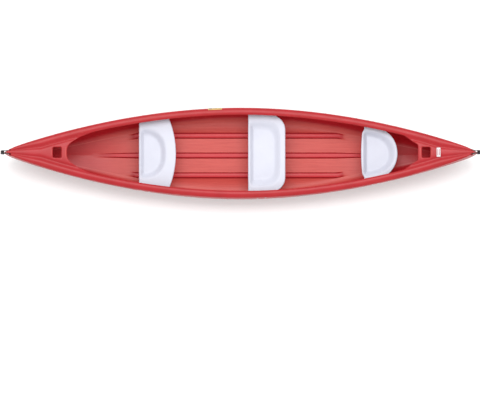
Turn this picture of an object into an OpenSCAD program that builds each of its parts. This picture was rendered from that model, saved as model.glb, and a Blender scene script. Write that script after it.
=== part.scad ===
// Three-seat open canoe in rotomoulded polyethylene.
// Frame: bow towards -X, stern towards +X, starboard +Y, +Z up.
// The origin lies on the ground plane under the middle of the hull.

/* [Hull] */
// Length between the two stems
hull_length = 4950; // [4200:50:6000]
// Greatest width, over the gunwales
hull_beam = 950; // [780:10:1150]
// Gunwale height amidships
mid_height = 408; // [340:4:490]
// How much higher the bow stands
bow_rise = 133; // [60:1:200]
// How much higher the stern stands
stern_rise = 143; // [60:1:200]
// Thickness of the moulded wall
wall = 6; // [4:0.5:10]
// Flat width of the bottom amidships
flat_width = 690; // [500:10:700]
// Height of the side knuckle amidships
knuckle_height = 195; // [150:5:230]
// Height of the knuckle at the stems
knuckle_end_height = 313; // [240:1:330]
// How far the keel line lifts towards the stems
rocker = 38; // [10:1:60]

/* [Gunwale and decks] */
// Width of the gunwale, from its outer edge to the cockpit
gunwale_width = 80; // [60:1:100]
// Height of the outer gunwale band
band_height = 46; // [30:1:60]
// Depth of the crease under the band
crease_depth = 13; // [4:1:20]
// Length of the bow deck, stem to cockpit
bow_deck = 658; // [600:1:900]
// Length of the stern deck, stem to cockpit
stern_deck = 626; // [600:1:900]
// Length of a hand hole along the deck
hand_hole_length = 83; // [60:1:100]
// Width of a hand hole across the deck
hand_hole_width = 106; // [80:1:120]
// Grab bar between the bow hand hole and the cockpit
bow_bar = 62; // [40:1:80]
// Grab bar between the stern hand hole and the cockpit
stern_bar = 45; // [40:1:80]

/* [Floor ribs] */
// Width of a groove at its mouth
rib_width = 60; // [40:2:70]
// Depth of a groove
rib_depth = 15; // [8:1:20]
// Distance of the side ribs from the keel line
rib_offset = 210; // [150:5:220]

/* [Seats] */
// Thickness of a seat moulding
seat_wall = 7; // [5:0.5:10]
// Height of the bolted flanges
seat_flange = 58; // [45:1:70]
// Bow stem to the front edge of the bow seat
bow_seat_reach = 1405; // [1300:5:1500]
// Front edge of the centre seat, aft of amidships
centre_seat_front = 76; // [0:2:120]
// Stern stem to the front edge of the stern seat
stern_seat_reach = 1215; // [1100:5:1300]
// Bow seat below the gunwale
bow_seat_drop = 137; // [110:1:160]
// Centre seat below the gunwale
centre_seat_drop = 118; // [100:1:150]
// Stern seat below the gunwale
stern_seat_drop = 116; // [100:1:150]
// Front to back of the bow seat at its ends
bow_seat_length = 297; // [250:1:330]
// Front to back of the centre seat
centre_seat_length = 391; // [330:1:420]
// Front to back of the stern seat at the centre line
stern_seat_length = 383; // [340:1:400]

/* [Fasteners] */
// Diameter of a seat bolt
bolt_d = 6; // [5:1:8]
// Diameter of a seat bolt's mushroom head
head_d = 22; // [14:1:24]
// Diameter of a seat washer
washer_d = 18; // [14:1:22]

/* [Carry handles] */
// Diameter of a handle's pivot bolt
pivot_d = 8; // [6:1:10]
// Pivot behind the stem's foremost point
pivot_setback = 50; // [42:1:60]
// Height of the bow handle's pivot
bow_pivot_z = 495; // [480:1:505]
// Height of the stern handle's pivot
stern_pivot_z = 508; // [490:1:515]
// Span of the handle's arc, pivot to lower end
handle_span = 103; // [95:1:115]
// Thickness of the handle's band
handle_band = 12; // [9:1:14]
// Width of the handle's band
handle_width = 40; // [36:1:46]
// Thickness of the stem between the handle's ears
tang = 26; // [20:1:28]

/* [Hidden] */

half_length = hull_length / 2;
half_beam = hull_beam / 2;
fit = 0.3;              // gap between separate pieces that touch
chord_play = 0.8;       // extra gap where the hull's side runs in straight panels
seat_inset_y = wall + fit + chord_play;     // hull's outside to a seat's flange
tip_half = 6;           // half thickness of the stem's front edge
fullness = 1.95;        // power of the plan curve
nose_share = 0.04;      // share of the beam gained in the blunt nose
nose_power = 70;        // how suddenly the nose gains it
flat_run = 0.35;        // straight part of the keel, as a share of half the hull
bilge_power = 2.3;      // roundness of the bilge
end_deadrise = 0.35;    // slope of the bottom at the stems
flat_taper = [0.3, 1.5, 0.4];   // where the flat bottom tapers from, how, and its share of the end's width
forefoot = 32;          // lift of the keel line at its very ends
bow_sheer_power = 4.2;
stern_sheer_power = 3.4;
lip_reach = 150;        // half beam under which the gunwale's shape shrinks
band_step = 10;         // height of the step under the outer band

// Gunwale and deck across the boat: [distance in from the outer edge, depth below the crest]
gunwale_profile = [[0, 27], [6, 13], [20, 4], [42, 0], [63, 2], [gunwale_width, 12]];
deck_valley = [gunwale_width + 20, 17];     // hollow between the gunwale and the deck's spine
deck_spine = [gunwale_width + 38, 7];       // edge of the raised spine along the deck
spine_crest = 6;
stations = 36;
cavity_end = 0.966;     // where the hollow inside stops, as a share of the stem
foam_play = 3;          // gap between a foam block and the moulded wall

// [length of the stem's curve, height of its foremost point, set back at its top]
bow_stem = [400, 378, 40];
stern_stem = [600, 350, 48];

RED = [0.78, 0.13, 0.13];
WHITE = [0.90, 0.91, 0.95];
FOAM = [0.93, 0.93, 0.90];
STEEL = [0.75, 0.76, 0.78];
BLACK = [0.06, 0.06, 0.07];
YELLOW = [0.86, 0.74, 0.30];

// ---------------------------------------------------------------- hull lines
// u runs from -1 at the bow to 1 at the stern; z is the height.

function clamp(v, lo, hi) = min(max(v, lo), hi);
function ease(v) = let(c = clamp(v, 0, 1)) c * c * (3 - 2 * c);
function lerp(a, b, s) = a + (b - a) * s;

function beyond_flat(u) = max(0, (abs(u) - flat_run) / (1 - flat_run));
function keel_z(u) = rocker * pow(beyond_flat(u), 3) + forefoot * pow(beyond_flat(u), 14);
function sheer_z(u) = mid_height
    + (u < 0 ? bow_rise * pow(-u, bow_sheer_power) : stern_rise * pow(u, stern_sheer_power));
function deadrise(u) = end_deadrise * pow(beyond_flat(u), 2);

function plan(t) = (1 - nose_share) * (1 - pow(1 - t, fullness))
    + nose_share * (1 - pow(1 - t, nose_power));
function half_width(u) = tip_half + (half_beam - tip_half) * plan(1 - min(1, abs(u)));

// Distance from amidships to the stem's edge at height z, at the end that u points to
function stem_x(u, z) = let(s = u < 0 ? bow_stem : stern_stem, top = sheer_z(u < 0 ? -1 : 1))
    z < s[1]
        ? half_length - s[0] * (1 - sqrt(1 - pow((s[1] - z) / s[1], 2)))
        : half_length - s[2] * pow((z - s[1]) / (top - s[1]), 2);

function flat_half(u) = let(
        e = pow(max(0, (abs(u) - flat_taper[0]) / (1 - flat_taper[0])), flat_taper[1]),
        b = half_width(u))
    lerp(flat_width / 2 * b / half_beam, flat_taper[2] * b, e);
function knuckle_z(u) = lerp(knuckle_height, knuckle_end_height, u * u);
function lip_scale(u) = min(1, half_width(u) / lip_reach);
function crease_z(u) = sheer_z(u) - (band_height + band_step) * lip_scale(u);
function crease_half(u) = half_width(u) - crease_depth * lip_scale(u);
function knuckle_half(u) = half_width(u) - lip_scale(u);

// Half width of the hull side at height z, pulled in by inset
function side_half(u, z, inset) = let(
        k = keel_z(u) + deadrise(u) * flat_half(u) + inset,
        top = knuckle_z(u),
        f = flat_half(u) - inset / 2,
        w = knuckle_half(u) - inset,
        c = crease_half(u) - inset)
    z < top
        ? f + (w - f) * pow(1 - pow(clamp((top - z) / (top - k), 0, 1), bilge_power), 1 / bilge_power)
        : lerp(w, c, clamp((z - top) / (crease_z(u) - top), 0, 1));
function side_y(x, z, inset) = side_half(x / stem_x(x, z), z, inset);

deck_level = mid_height + 60;   // height at which a deck's x is read off the stem

// Height of the gunwale's crest above a point at x
function sheer_at(x) = sheer_z(x / stem_x(x, deck_level));

// ------------------------------------------------------------- hull sections
// Half a section: from the keel line, round the bilge and the gunwale, to the deck's middle.

rib_slant = 8;          // width of a groove's sloping side
rib_margin = 5;         // flat left between a side groove and the bilge
rib_fade = 0.12;        // run over which a groove fades out
side_rib_end = 0.86;    // squeeze at which the side grooves are gone
centre_rib_end = 0.74;  // share of half the hull where the centre groove is gone

function rib_squeeze(u) = min(1, flat_half(u) / (rib_offset + rib_width / 2 + rib_margin));
function side_rib(u) = rib_depth * ease((rib_squeeze(u) - side_rib_end) / rib_fade);
function centre_rib(u) = rib_depth * ease((centre_rib_end - abs(u)) / rib_fade);
function floor_point(u, y, lift, inset) =
    [y, keel_z(u) + deadrise(u) * y + lift + inset];

function half_section(u, inset) = let(
        q = rib_squeeze(u),
        g = lip_scale(u),
        s = sheer_z(u) - inset,
        b = half_width(u) - inset,
        f = flat_half(u) - inset / 2,
        mouth = (rib_width / 2 + inset / 2) * q,
        crown = (rib_width / 2 - rib_slant + inset / 2) * q,
        side = rib_offset * q,
        k = keel_z(u) + deadrise(u) * flat_half(u) + inset,
        top = knuckle_z(u),
        w = knuckle_half(u) - inset,
        c = crease_half(u) - inset)
    concat(
        [
            floor_point(u, 0, centre_rib(u), inset),
            floor_point(u, crown, centre_rib(u), inset),
            floor_point(u, mouth, 0, inset),
            floor_point(u, side - mouth, 0, inset),
            floor_point(u, side - crown, side_rib(u), inset),
            floor_point(u, side + crown, side_rib(u), inset),
            floor_point(u, side + mouth, 0, inset),
            [f, k]
        ],
        [for (a = [18:18:90])
            [f + (w - f) * pow(sin(a), 2 / bilge_power), top - (top - k) * pow(cos(a), 2 / bilge_power)]],
        [
            [(w + c) / 2, (top + crease_z(u)) / 2],
            [c, crease_z(u)],
            [b, sheer_z(u) - band_height * g]
        ],
        [for (q = concat(gunwale_profile, [deck_valley, deck_spine])) [b - q[0] * g, s - q[1] * g]],
        [[0, s - spine_crest * g]]);

// Skin through the sections at the stations us, closed by a ladder of faces at each end
module skin(us, inset) {
    halves = [for (u = us) half_section(u, inset)];
    n = len(halves[0]);
    m = 2 * n - 2;
    points = [
        for (i = [0:len(us) - 1])
            for (j = [0:m - 1])
                let(p = halves[i][j < n ? j : m - j],
                    reach = inset == 0 ? stem_x(us[i], p[1]) : stem_x(us[i], max(p[1], inset)))
                [us[i] * reach, j < n ? p[0] : -p[0], p[1]]
    ];
    last = (len(us) - 1) * m;
    sides = [
        for (i = [0:len(us) - 2])
            for (j = [0:m - 1])
                let(a = i * m + j, b = i * m + (j + 1) % m)
                each [[a, a + m, b + m], [a, b + m, b]]
    ];
    front = concat(
        [[0, 1, m - 1]],
        [for (j = [1:n - 3]) each [[j, j + 1, m - j - 1], [j, m - j - 1, m - j]]],
        [[n - 2, n - 1, n]]);
    back = [for (f = front) [last + f[2], last + f[1], last + f[0]]];
    polyhedron(points, concat(sides, front, back), convexity = 10);
}

outer_us = [for (i = [0:stations]) -cos(180 * i / stations)];
cavity_us = [for (u = outer_us) cavity_end * u];

// ------------------------------------------------------------------- cockpit
cockpit_bow = -half_length + bow_deck;
cockpit_stern = half_length - stern_deck;
bow_round = 420;        // length over which the cockpit's bow end rounds off
stern_corner = 80;      // half width of the straight edge at the stern end
stern_bevel = 0.66;     // slope of its bevelled corners
rim_drop = 100;         // cockpit's rim below the top of the stem
hole_corner = 10;       // corner radius of the hand holes
cut_height = 400;

function opening_half(x) = let(
        clear = half_width(x / stem_x(x, sheer_z(x < 0 ? -1 : 1) - rim_drop)) - gunwale_width,
        into_bow = clamp((cockpit_bow + bow_round - x) / bow_round, 0, 1))
    min(clear * pow(1 - pow(into_bow, 3), 1 / 3),
        stern_corner + stern_bevel * (cockpit_stern - x));

cockpit_steps = 44;
function cockpit_x(i) = lerp(cockpit_bow, cockpit_stern, (1 - cos(180 * i / cockpit_steps)) / 2);
cockpit_side = [for (i = [1:cockpit_steps]) [cockpit_x(i), opening_half(cockpit_x(i))]];
cockpit_outline = concat(
    [[cockpit_bow, 0]],
    cockpit_side,
    [for (i = [cockpit_steps - 1:-1:0]) [cockpit_side[i][0], -cockpit_side[i][1]]]);

module rounded_block(size_x, size_y, height, r) {
    corner = [for (a = [0:15:90]) [r * cos(a), r * sin(a)]];
    cx = size_x / 2 - r;
    cy = size_y / 2 - r;
    linear_extrude(height)
        polygon(concat(
            [for (p = corner) [cx + p[0], cy + p[1]]],
            [for (p = corner) [-cx - p[1], cy + p[0]]],
            [for (p = corner) [-cx - p[0], -cy - p[1]]],
            [for (p = corner) [cx + p[1], -cy - p[0]]]));
}

bow_hole_x = cockpit_bow - bow_bar - hand_hole_length / 2;
stern_hole_x = cockpit_stern + stern_bar + hand_hole_length / 2;

module openings() {
    sill = mid_height - 70;
    translate([0, 0, sill])
        linear_extrude(cut_height)
            polygon(cockpit_outline);
    for (x = [bow_hole_x, stern_hole_x])
        translate([x, 0, sill])
            rounded_block(hand_hole_length, hand_hole_width, cut_height, hole_corner);
}

// ---------------------------------------------------------------- fasteners
// Bolts of each seat: distance behind the seat's front edge, and [x, height] in the hull.
bow_front = -half_length + bow_seat_reach;
stern_front = half_length - stern_seat_reach;

bow_seat_z = sheer_at(bow_front) - bow_seat_drop;
centre_seat_z = mid_height - centre_seat_drop;
stern_seat_z = sheer_at(stern_front + stern_seat_length / 2) - stern_seat_drop;

bolt_drop = 30;         // bolts below the seat's top
bow_bolt_reach = [25, 109];
centre_bolt_reach = [99, 184];
stern_bolt_reach = [121, 177];
bow_bolts = [for (x = bow_bolt_reach) [bow_front + x, bow_seat_z - bolt_drop]];
centre_bolts = [for (x = centre_bolt_reach) [centre_seat_front + x, centre_seat_z - bolt_drop]];
stern_bolts = [for (x = stern_bolt_reach) [stern_front + x, stern_seat_z - bolt_drop]];

// Puts children on the hull side at (x, z), with their +Z pointing out of the hull
module on_side(x, z, side) {
    step = 5;
    slope_x = (side_y(x + step, z, 0) - side_y(x - step, z, 0)) / (2 * step);
    slope_z = (side_y(x, z + step, 0) - side_y(x, z - step, 0)) / (2 * step);
    away = [-slope_x, 1, -slope_z] / norm([slope_x, 1, slope_z]);
    translate([x, side * side_y(x, z, 0), z])
        rotate([0, acos(away[2]), atan2(side * away[1], away[0])])
            children();
}

module at_bolts(list) {
    for (p = list)
        for (side = [-1, 1])
            on_side(p[0], p[1], side)
                children();
}

stack = seat_inset_y + seat_wall;     // hull wall and seat flange together
washer_t = 1.6;
nut_t = 5;
nut_across = 1.9;       // a nut's width over its corners, in bolt diameters
bolt_end = 3;           // thread that shows past the nut
head_h = 5;
bore_run = 60;          // length of a bore through the wall and flange

module bolt() {
    dome_r = (pow(head_d / 2, 2) + pow(head_h, 2)) / (2 * head_h);
    shank = stack + 3 * fit + washer_t + nut_t + bolt_end;
    translate([0, 0, -shank])
        cylinder(h = shank + 2 * fit, d = bolt_d, $fn = 32);
    translate([0, 0, fit])
        intersection() {
            cylinder(h = head_h, d = head_d, $fn = 48);
            translate([0, 0, head_h - dome_r])
                sphere(r = dome_r, $fn = 64);
        }
}

module washer() {
    translate([0, 0, -stack - 2 * fit - washer_t])
        difference() {
            cylinder(h = washer_t, d = washer_d, $fn = 40);
            translate([0, 0, -1])
                cylinder(h = washer_t + 2, d = bolt_d + 2 * fit, $fn = 32);
        }
}

module nut() {
    translate([0, 0, -stack - 3 * fit - washer_t - nut_t])
        difference() {
            cylinder(h = nut_t, d = nut_across * bolt_d, $fn = 6);
            translate([0, 0, -1])
                cylinder(h = nut_t + 2, d = bolt_d + 0.1, $fn = 32);
        }
}

module bolt_hole() {
    translate([0, 0, -2 * bore_run / 3])
        cylinder(h = bore_run, d = bolt_d + 2 * fit, $fn = 32);
}

// --------------------------------------------------------------------- seats
// A seat is a shell over a grid: rows run across the boat, columns run fore and aft.
// The outer rows turn down into the bolted flanges and the edges into a short lip.

seat_columns = 20;
seat_rows = 26;
seat_lip = 20;

// Bow seat: straight front, bowed back. Centre seat: straight front, rounded back corners.
// Stern seat: stepped front, half-round back.
bow_bulge = [92, 400];          // [depth, half width] of the back's curve
centre_corner = [254, 150, 134];    // [half width where it starts, its width, its depth]
stern_bow = [12, 200];          // [depth, half width] of the front's curve
stern_step = [20, 195, 40];     // [depth, half width where it starts, its width]
stern_round = [252, 152];       // [half width, depth] of the back's curve

function bow_seat_front(y) = bow_front;
function bow_seat_back(y) = bow_front + bow_seat_length
    + bow_bulge[0] * (1 - pow(min(1, abs(y) / bow_bulge[1]), 2));
function centre_seat_edge(y) = centre_seat_front;
function centre_seat_back(y) = let(w = clamp((abs(y) - centre_corner[0]) / centre_corner[1], 0, 0.98))
    centre_seat_front + centre_seat_length - centre_corner[2] * (1 - sqrt(1 - w * w));
function stern_seat_front(y) = stern_front + stern_bow[0] * pow(min(1, abs(y) / stern_bow[1]), 2)
    + stern_step[0] * ease((abs(y) - stern_step[1]) / stern_step[2]);
function stern_seat_back(y) = let(w = min(abs(y) / stern_round[0], 0.985))
    stern_front + stern_seat_length - stern_round[1] * (1 - sqrt(1 - w * w));

scoop_rise = 0.24;      // width of a scoop's sloping side, as a share of the bowl
scoop_front = 45;       // length of the slope behind its front edge

// How deep the scoop is at (x, y): a superellipse bowl behind a front lip
function scoop(x, y, front, back, reach, power, depth) = let(
        along = clamp((x - front) / (back - front), 0, 2),
        r = pow(pow(along, power) + pow(abs(y) / reach, power), 1 / power))
    depth * ease((1 - r) / scoop_rise) * ease((x - front) / scoop_front);

BOW = 0;
CENTRE = 1;
STERN = 2;
// [front edge, back edge, distance in from the seat's ends, power, depth] of each bowl
bowls = [
    [bow_front + 12, bow_front + 290, 130, 2.5, 48],
    [centre_seat_front + 14, centre_seat_front + centre_seat_length - 42, 105, 5, 45],
    [stern_front + 20, stern_front + stern_seat_length - 18, 62, 2.2, 62]
];

function front_of(kind, y) =
    kind == BOW ? bow_seat_front(y) : kind == CENTRE ? centre_seat_edge(y) : stern_seat_front(y);
function back_of(kind, y) =
    kind == BOW ? bow_seat_back(y) : kind == CENTRE ? centre_seat_back(y) : stern_seat_back(y);
function dip(kind, x, y, half) = let(q = bowls[kind]) scoop(x, y, q[0], q[1], half - q[2], q[3], q[4]);

seat_edge = 7;          // drop and pull-in of the rounded edge above a flange
edge_share = 0.012;     // first and last columns inside the seat's edges

function row_share(j) = let(mid = (j - 2) / (seat_rows - 4))
    j < 2 ? -1 : j > seat_rows - 2 ? 1 : 2 * mid - 1;
function row_drop(j) = let(e = min(j, seat_rows - j))
    e == 0 ? seat_flange : e == 1 ? seat_edge : 0;
function column_share(i) = i == 0 ? 0 : i == seat_columns ? 1
    : lerp(edge_share, 1 - edge_share, (i - 1) / (seat_columns - 2));
function column_drop(i) = i == 0 || i == seat_columns ? seat_lip : 0;

function seat_point(kind, top, i, j) = let(
        share = row_share(j),
        e = min(j, seat_rows - j),
        mid = (front_of(kind, 0) + back_of(kind, 200)) / 2,
        nominal = side_y(mid, top, seat_inset_y),
        x = lerp(front_of(kind, share * nominal), back_of(kind, share * nominal), column_share(i)),
        z = top - max(row_drop(j), column_drop(i)),
        half = side_y(x, z, seat_inset_y) - (e == 2 ? seat_edge : 0),
        y = share * half)
    [x, y, e < 2 ? z : z - dip(kind, x, y, nominal)];
function seat_skin(i, j) = let(
        e = min(j, seat_rows - j),
        inboard = j < seat_rows / 2 ? 1 : -1,
        ahead = i == 0 || i == 1 ? 1 : i >= seat_columns - 1 ? -1 : 0)
    seat_wall * [
        ahead,
        e < 3 ? inboard : 0,
        e == 0 ? 0 : (i == 0 || i == seat_columns) && e > 1 ? 0 : -1];

module seat_shell(kind, top) {
    nc = seat_columns + 1;
    nr = seat_rows + 1;
    upper = [for (j = [0:seat_rows]) for (i = [0:seat_columns]) seat_point(kind, top, i, j)];
    under = [for (j = [0:seat_rows]) for (i = [0:seat_columns])
        seat_point(kind, top, i, j) + seat_skin(i, j)];
    n = nc * nr;
    sheet = [for (j = [0:seat_rows - 1]) for (i = [0:seat_columns - 1])
        let(a = j * nc + i) each [[a, a + nc, a + nc + 1], [a, a + nc + 1, a + 1]]];
    belly = [for (f = sheet) [n + f[2], n + f[1], n + f[0]]];
    rim = concat(
        [for (i = [0:seat_columns - 1]) i],
        [for (j = [0:seat_rows - 1]) j * nc + seat_columns],
        [for (i = [seat_columns:-1:1]) seat_rows * nc + i],
        [for (j = [seat_rows:-1:1]) j * nc]);
    walls = [for (k = [0:len(rim) - 1]) let(a = rim[k], b = rim[(k + 1) % len(rim)])
        each [[a, b, n + b], [a, n + b, n + a]]];
    polyhedron(concat(upper, under), concat(sheet, belly, walls), convexity = 8);
}

module seat(kind, top, bolts) {
    color(WHITE)
        difference() {
            seat_shell(kind, top);
            at_bolts(bolts)
                bolt_hole();
        }
}

// ------------------------------------------------------------------- handles
ear_t = (handle_width - tang) / 2 - fit;
ear_r = 13;
pocket_r = 30;
pocket_run = 100;       // how far a pocket's cut runs out past the stem
pivot_washer_t = 1.2;
pivot_head_h = 4;
pivot_nut_t = 5;
pivot_end = 6;          // thread that the nut turns on
head_across = 1.75;     // pivot head's width, in bolt diameters
washer_across = 2;
pivot_nut_across = 1.8;
bore_half = 60;
pivot_x = half_length - pivot_setback;
pivot_hole_d = pivot_d + 0.12;
arc_r = handle_span / 2;
hang_angle = 56.4;      // slope of the line from the pivot to the handle's lower end
bow_sweep = 187;        // how far the band runs round, to rest on the stem
stern_sweep = 193;
bridge_start = 68;      // where the two arms join into one band
slot_lead = 30;         // the slot between the arms starts this far before the pivot
seam_turn = 20;         // keeps the ear's seam away from the band's edges

module cross_rod(d, from, to) {
    translate([0, to, 0])
        rotate([90, 0, 0])
            cylinder(h = to - from, d = d, $fn = 48);
}

// Pockets in the stem's sides that the handle's ears turn in, with the pivot's bore
module stem_cut() {
    for (side = [-1, 1])
        scale([1, side, 1]) {
            cross_rod(2 * pocket_r, tang / 2, tang / 2 + pocket_run);
            translate([-pocket_run, tang / 2, 0])
                cube([pocket_run + pocket_r, pocket_run, pocket_run]);
            translate([-pocket_run, tang / 2, -pocket_r])
                cube([pocket_run, pocket_run, 2 * pocket_r]);
        }
    cross_rod(pivot_hole_d, -bore_half, bore_half);
}

module stem_cuts() {
    translate([-pivot_x, 0, bow_pivot_z])
        stem_cut();
    translate([pivot_x, 0, stern_pivot_z])
        mirror([1, 0, 0])
            stem_cut();
}

arc_centre = [-arc_r * cos(hang_angle), 0, -arc_r * sin(hang_angle)];

// Stretch of the handle's arc that starts at an angle round its centre
module band(from, sweep, thick, width) {
    rotate([90, 0, 0])
        rotate([0, 0, hang_angle + from])
            rotate_extrude(angle = sweep, $fn = 96)
                translate([arc_r - thick / 2, -width / 2])
                    square([thick, width]);
}

// Handle about its pivot: two ears and arms that join into a C-shaped band
module handle(sweep) {
    half = handle_width / 2;
    color(BLACK)
        difference() {
            union() {
                rotate([0, seam_turn, 0])
                    cross_rod(2 * ear_r, -half, half);
                translate(arc_centre)
                    band(0, sweep, handle_band, handle_width);
            }
            translate(arc_centre)
                band(-slot_lead, slot_lead + bridge_start, 4 * ear_r, handle_width - 2 * ear_t);
            cross_rod(pivot_hole_d, -bore_half, bore_half);
        }
}

module pivot_bolt() {
    reach = handle_width / 2 + 2 * fit + pivot_washer_t;
    color(STEEL) {
        cross_rod(pivot_d, -reach, reach + pivot_end);
        cross_rod(head_across * pivot_d, -reach - pivot_head_h, -reach);
    }
}

module pivot_washers() {
    half = handle_width / 2 + fit;
    color(STEEL)
        difference() {
            union() {
                cross_rod(washer_across * pivot_d, half, half + pivot_washer_t);
                cross_rod(washer_across * pivot_d, -half - pivot_washer_t, -half);
            }
            cross_rod(pivot_hole_d, -bore_half, bore_half);
        }
}

module pivot_nut() {
    start = handle_width / 2 + 2 * fit + pivot_washer_t;
    color(STEEL)
        difference() {
            translate([0, start + pivot_nut_t, 0])
                rotate([90, 0, 0])
                    cylinder(h = pivot_nut_t, d = pivot_nut_across * pivot_d, $fn = 6);
            cross_rod(pivot_d + 0.1, 0, bore_half);
        }
}

module at_bow_pivot() {
    translate([-pivot_x, 0, bow_pivot_z])
        children();
}

module at_stern_pivot() {
    translate([pivot_x, 0, stern_pivot_z])
        mirror([1, 0, 0])
            children();
}

// --------------------------------------------------------- decals and plate
film = 0.5;
film_steps = 8;

// Film that covers a stretch of the hull: edge(x) lists [half width, height] up the skin
module skin_film(x0, x1, rows, side) {
    n = len(rows[0]);
    m = 2 * n;
    count = len(rows);
    points = [
        for (i = [0:count - 1])
            for (j = [0:m - 1])
                let(q = rows[i][j < n ? j : m - 1 - j], lift = j < n ? fit : fit + film)
                [lerp(x0, x1, i / (count - 1)), side * (q[0] + lift), q[1] + (n > 2 ? lift : 0)]
    ];
    tube = [
        for (i = [0:count - 2])
            for (j = [0:m - 1])
                let(a = i * m + j, b = i * m + (j + 1) % m)
                each [[b, b + m, a + m], [a, b, a + m]]
    ];
    cap = [for (j = [0:n - 2]) each [[m - 1 - j, j + 1, j], [m - 1 - j, m - 2 - j, j + 1]]];
    last = (count - 1) * m;
    end = [for (f = cap) [last + f[2], last + f[1], last + f[0]]];
    faces = concat(tube, cap, end);
    polyhedron(points, side > 0 ? faces : [for (f = faces) [f[2], f[1], f[0]]], convexity = 2);
}

port_emblem_x = [522, 789];
port_emblem_z = [234, 346];
label_x = [-343, -197];

function film_x(range, i) = lerp(range[0], range[1], i / film_steps);
port_emblem_rows = [
    for (i = [0:film_steps])
        let(x = film_x(port_emblem_x, i))
        [for (z = port_emblem_z) [side_y(x, z, 0), z]]
];
label_rows = [
    for (i = [0:film_steps])
        let(u = film_x(label_x, i) / half_length, b = half_width(u), s = sheer_z(u))
        [[b - 1, s - 25], [b - 6, s - 13], [b - 18, s - 5]]
];

plate_x = stern_hole_x + hand_hole_length / 2 + 87;
plate_length = 40;
plate_width = 96;
plate_t = 1.5;
plate_lift = chord_play + 2 * fit;     // plate's underside above the spine's crest
rivet_y = 40;
rivet_d = 4;

function deck_z(x) = let(u = x / stem_x(x, deck_level)) sheer_z(u) - spine_crest * lip_scale(u);

module on_stern_deck() {
    slope = atan((deck_z(plate_x + 20) - deck_z(plate_x - 20)) / 40);
    translate([plate_x, 0, deck_z(plate_x) + plate_lift])
        rotate([0, -slope, 0])
            children();
}

module at_rivets() {
    on_stern_deck()
        for (y = [-rivet_y, rivet_y])
            translate([0, y, 0])
                children();
}

module rivet_hole() {
    translate([0, 0, -20])
        cylinder(h = 40, d = rivet_d + fit, $fn = 24);
}

// --------------------------------------------------------------------- nodes
module hull() {
    color(RED)
        difference() {
            skin(outer_us, 0);
            skin(cavity_us, wall);
            openings();
            at_bolts(concat(bow_bolts, centre_bolts, stern_bolts))
                bolt_hole();
            at_rivets()
                rivet_hole();
            stem_cuts();
        }
}

module foam_block(first, last) {
    color(FOAM)
        skin([for (i = [first:last]) cavity_us[i]], wall + foam_play);
}

module bow_foam_block() { foam_block(2, 4); }
module stern_foam_block() { foam_block(stations - 4, stations - 2); }

module bow_seat() { seat(BOW, bow_seat_z, bow_bolts); }
module bow_seat_bolts() { color(STEEL) at_bolts(bow_bolts) bolt(); }
module bow_seat_washers() { color(STEEL) at_bolts(bow_bolts) washer(); }
module bow_seat_nuts() { color(STEEL) at_bolts(bow_bolts) nut(); }

module centre_seat() { seat(CENTRE, centre_seat_z, centre_bolts); }
module centre_seat_bolts() { color(STEEL) at_bolts(centre_bolts) bolt(); }
module centre_seat_washers() { color(STEEL) at_bolts(centre_bolts) washer(); }
module centre_seat_nuts() { color(STEEL) at_bolts(centre_bolts) nut(); }

module stern_seat() { seat(STERN, stern_seat_z, stern_bolts); }
module stern_seat_bolts() { color(STEEL) at_bolts(stern_bolts) bolt(); }
module stern_seat_washers() { color(STEEL) at_bolts(stern_bolts) washer(); }
module stern_seat_nuts() { color(STEEL) at_bolts(stern_bolts) nut(); }

module bow_handle() { at_bow_pivot() handle(bow_sweep); }
module bow_pivot_bolt() { at_bow_pivot() pivot_bolt(); }
module bow_pivot_washers() { at_bow_pivot() pivot_washers(); }
module bow_pivot_nut() { at_bow_pivot() pivot_nut(); }

module stern_handle() { at_stern_pivot() handle(stern_sweep); }
module stern_pivot_bolt() { at_stern_pivot() pivot_bolt(); }
module stern_pivot_washers() { at_stern_pivot() pivot_washers(); }
module stern_pivot_nut() { at_stern_pivot() pivot_nut(); }

module port_emblem() {
    color(WHITE)
        skin_film(port_emblem_x[0], port_emblem_x[1], port_emblem_rows, -1);
}

module starboard_label() {
    color(YELLOW)
        skin_film(label_x[0], label_x[1], label_rows, 1);
}

module stern_deck_plate() {
    color(WHITE)
        difference() {
            on_stern_deck()
                translate([-plate_length / 2, -plate_width / 2, 0])
                    cube([plate_length, plate_width, plate_t]);
            at_rivets()
                rivet_hole();
        }
}

module plate_rivets() {
    color(STEEL)
        at_rivets() {
            translate([0, 0, -9])
                cylinder(h = 9 + plate_t + fit, d = rivet_d, $fn = 24);
            translate([0, 0, plate_t + fit])
                cylinder(h = 1.6, d = 2 * rivet_d, $fn = 32);
        }
}

hull();
bow_foam_block();
stern_foam_block();
bow_seat();
bow_seat_bolts();
bow_seat_washers();
bow_seat_nuts();
centre_seat();
centre_seat_bolts();
centre_seat_washers();
centre_seat_nuts();
stern_seat();
stern_seat_bolts();
stern_seat_washers();
stern_seat_nuts();
bow_handle();
bow_pivot_bolt();
bow_pivot_washers();
bow_pivot_nut();
stern_handle();
stern_pivot_bolt();
stern_pivot_washers();
stern_pivot_nut();
port_emblem();
starboard_label();
stern_deck_plate();
plate_rivets();
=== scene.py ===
"""Looks of a three-seat open canoe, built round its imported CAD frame.

Lengths inside the classes are millimetres in the CAD's own frame: bow towards -X, starboard
towards +Y, +Z up, origin on the ground under the middle. They turn into metres when a mesh is made.
"""

from __future__ import annotations

import logging
import math
from dataclasses import dataclass, field
from enum import Enum
from functools import reduce
from typing import Callable, Sequence

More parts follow.
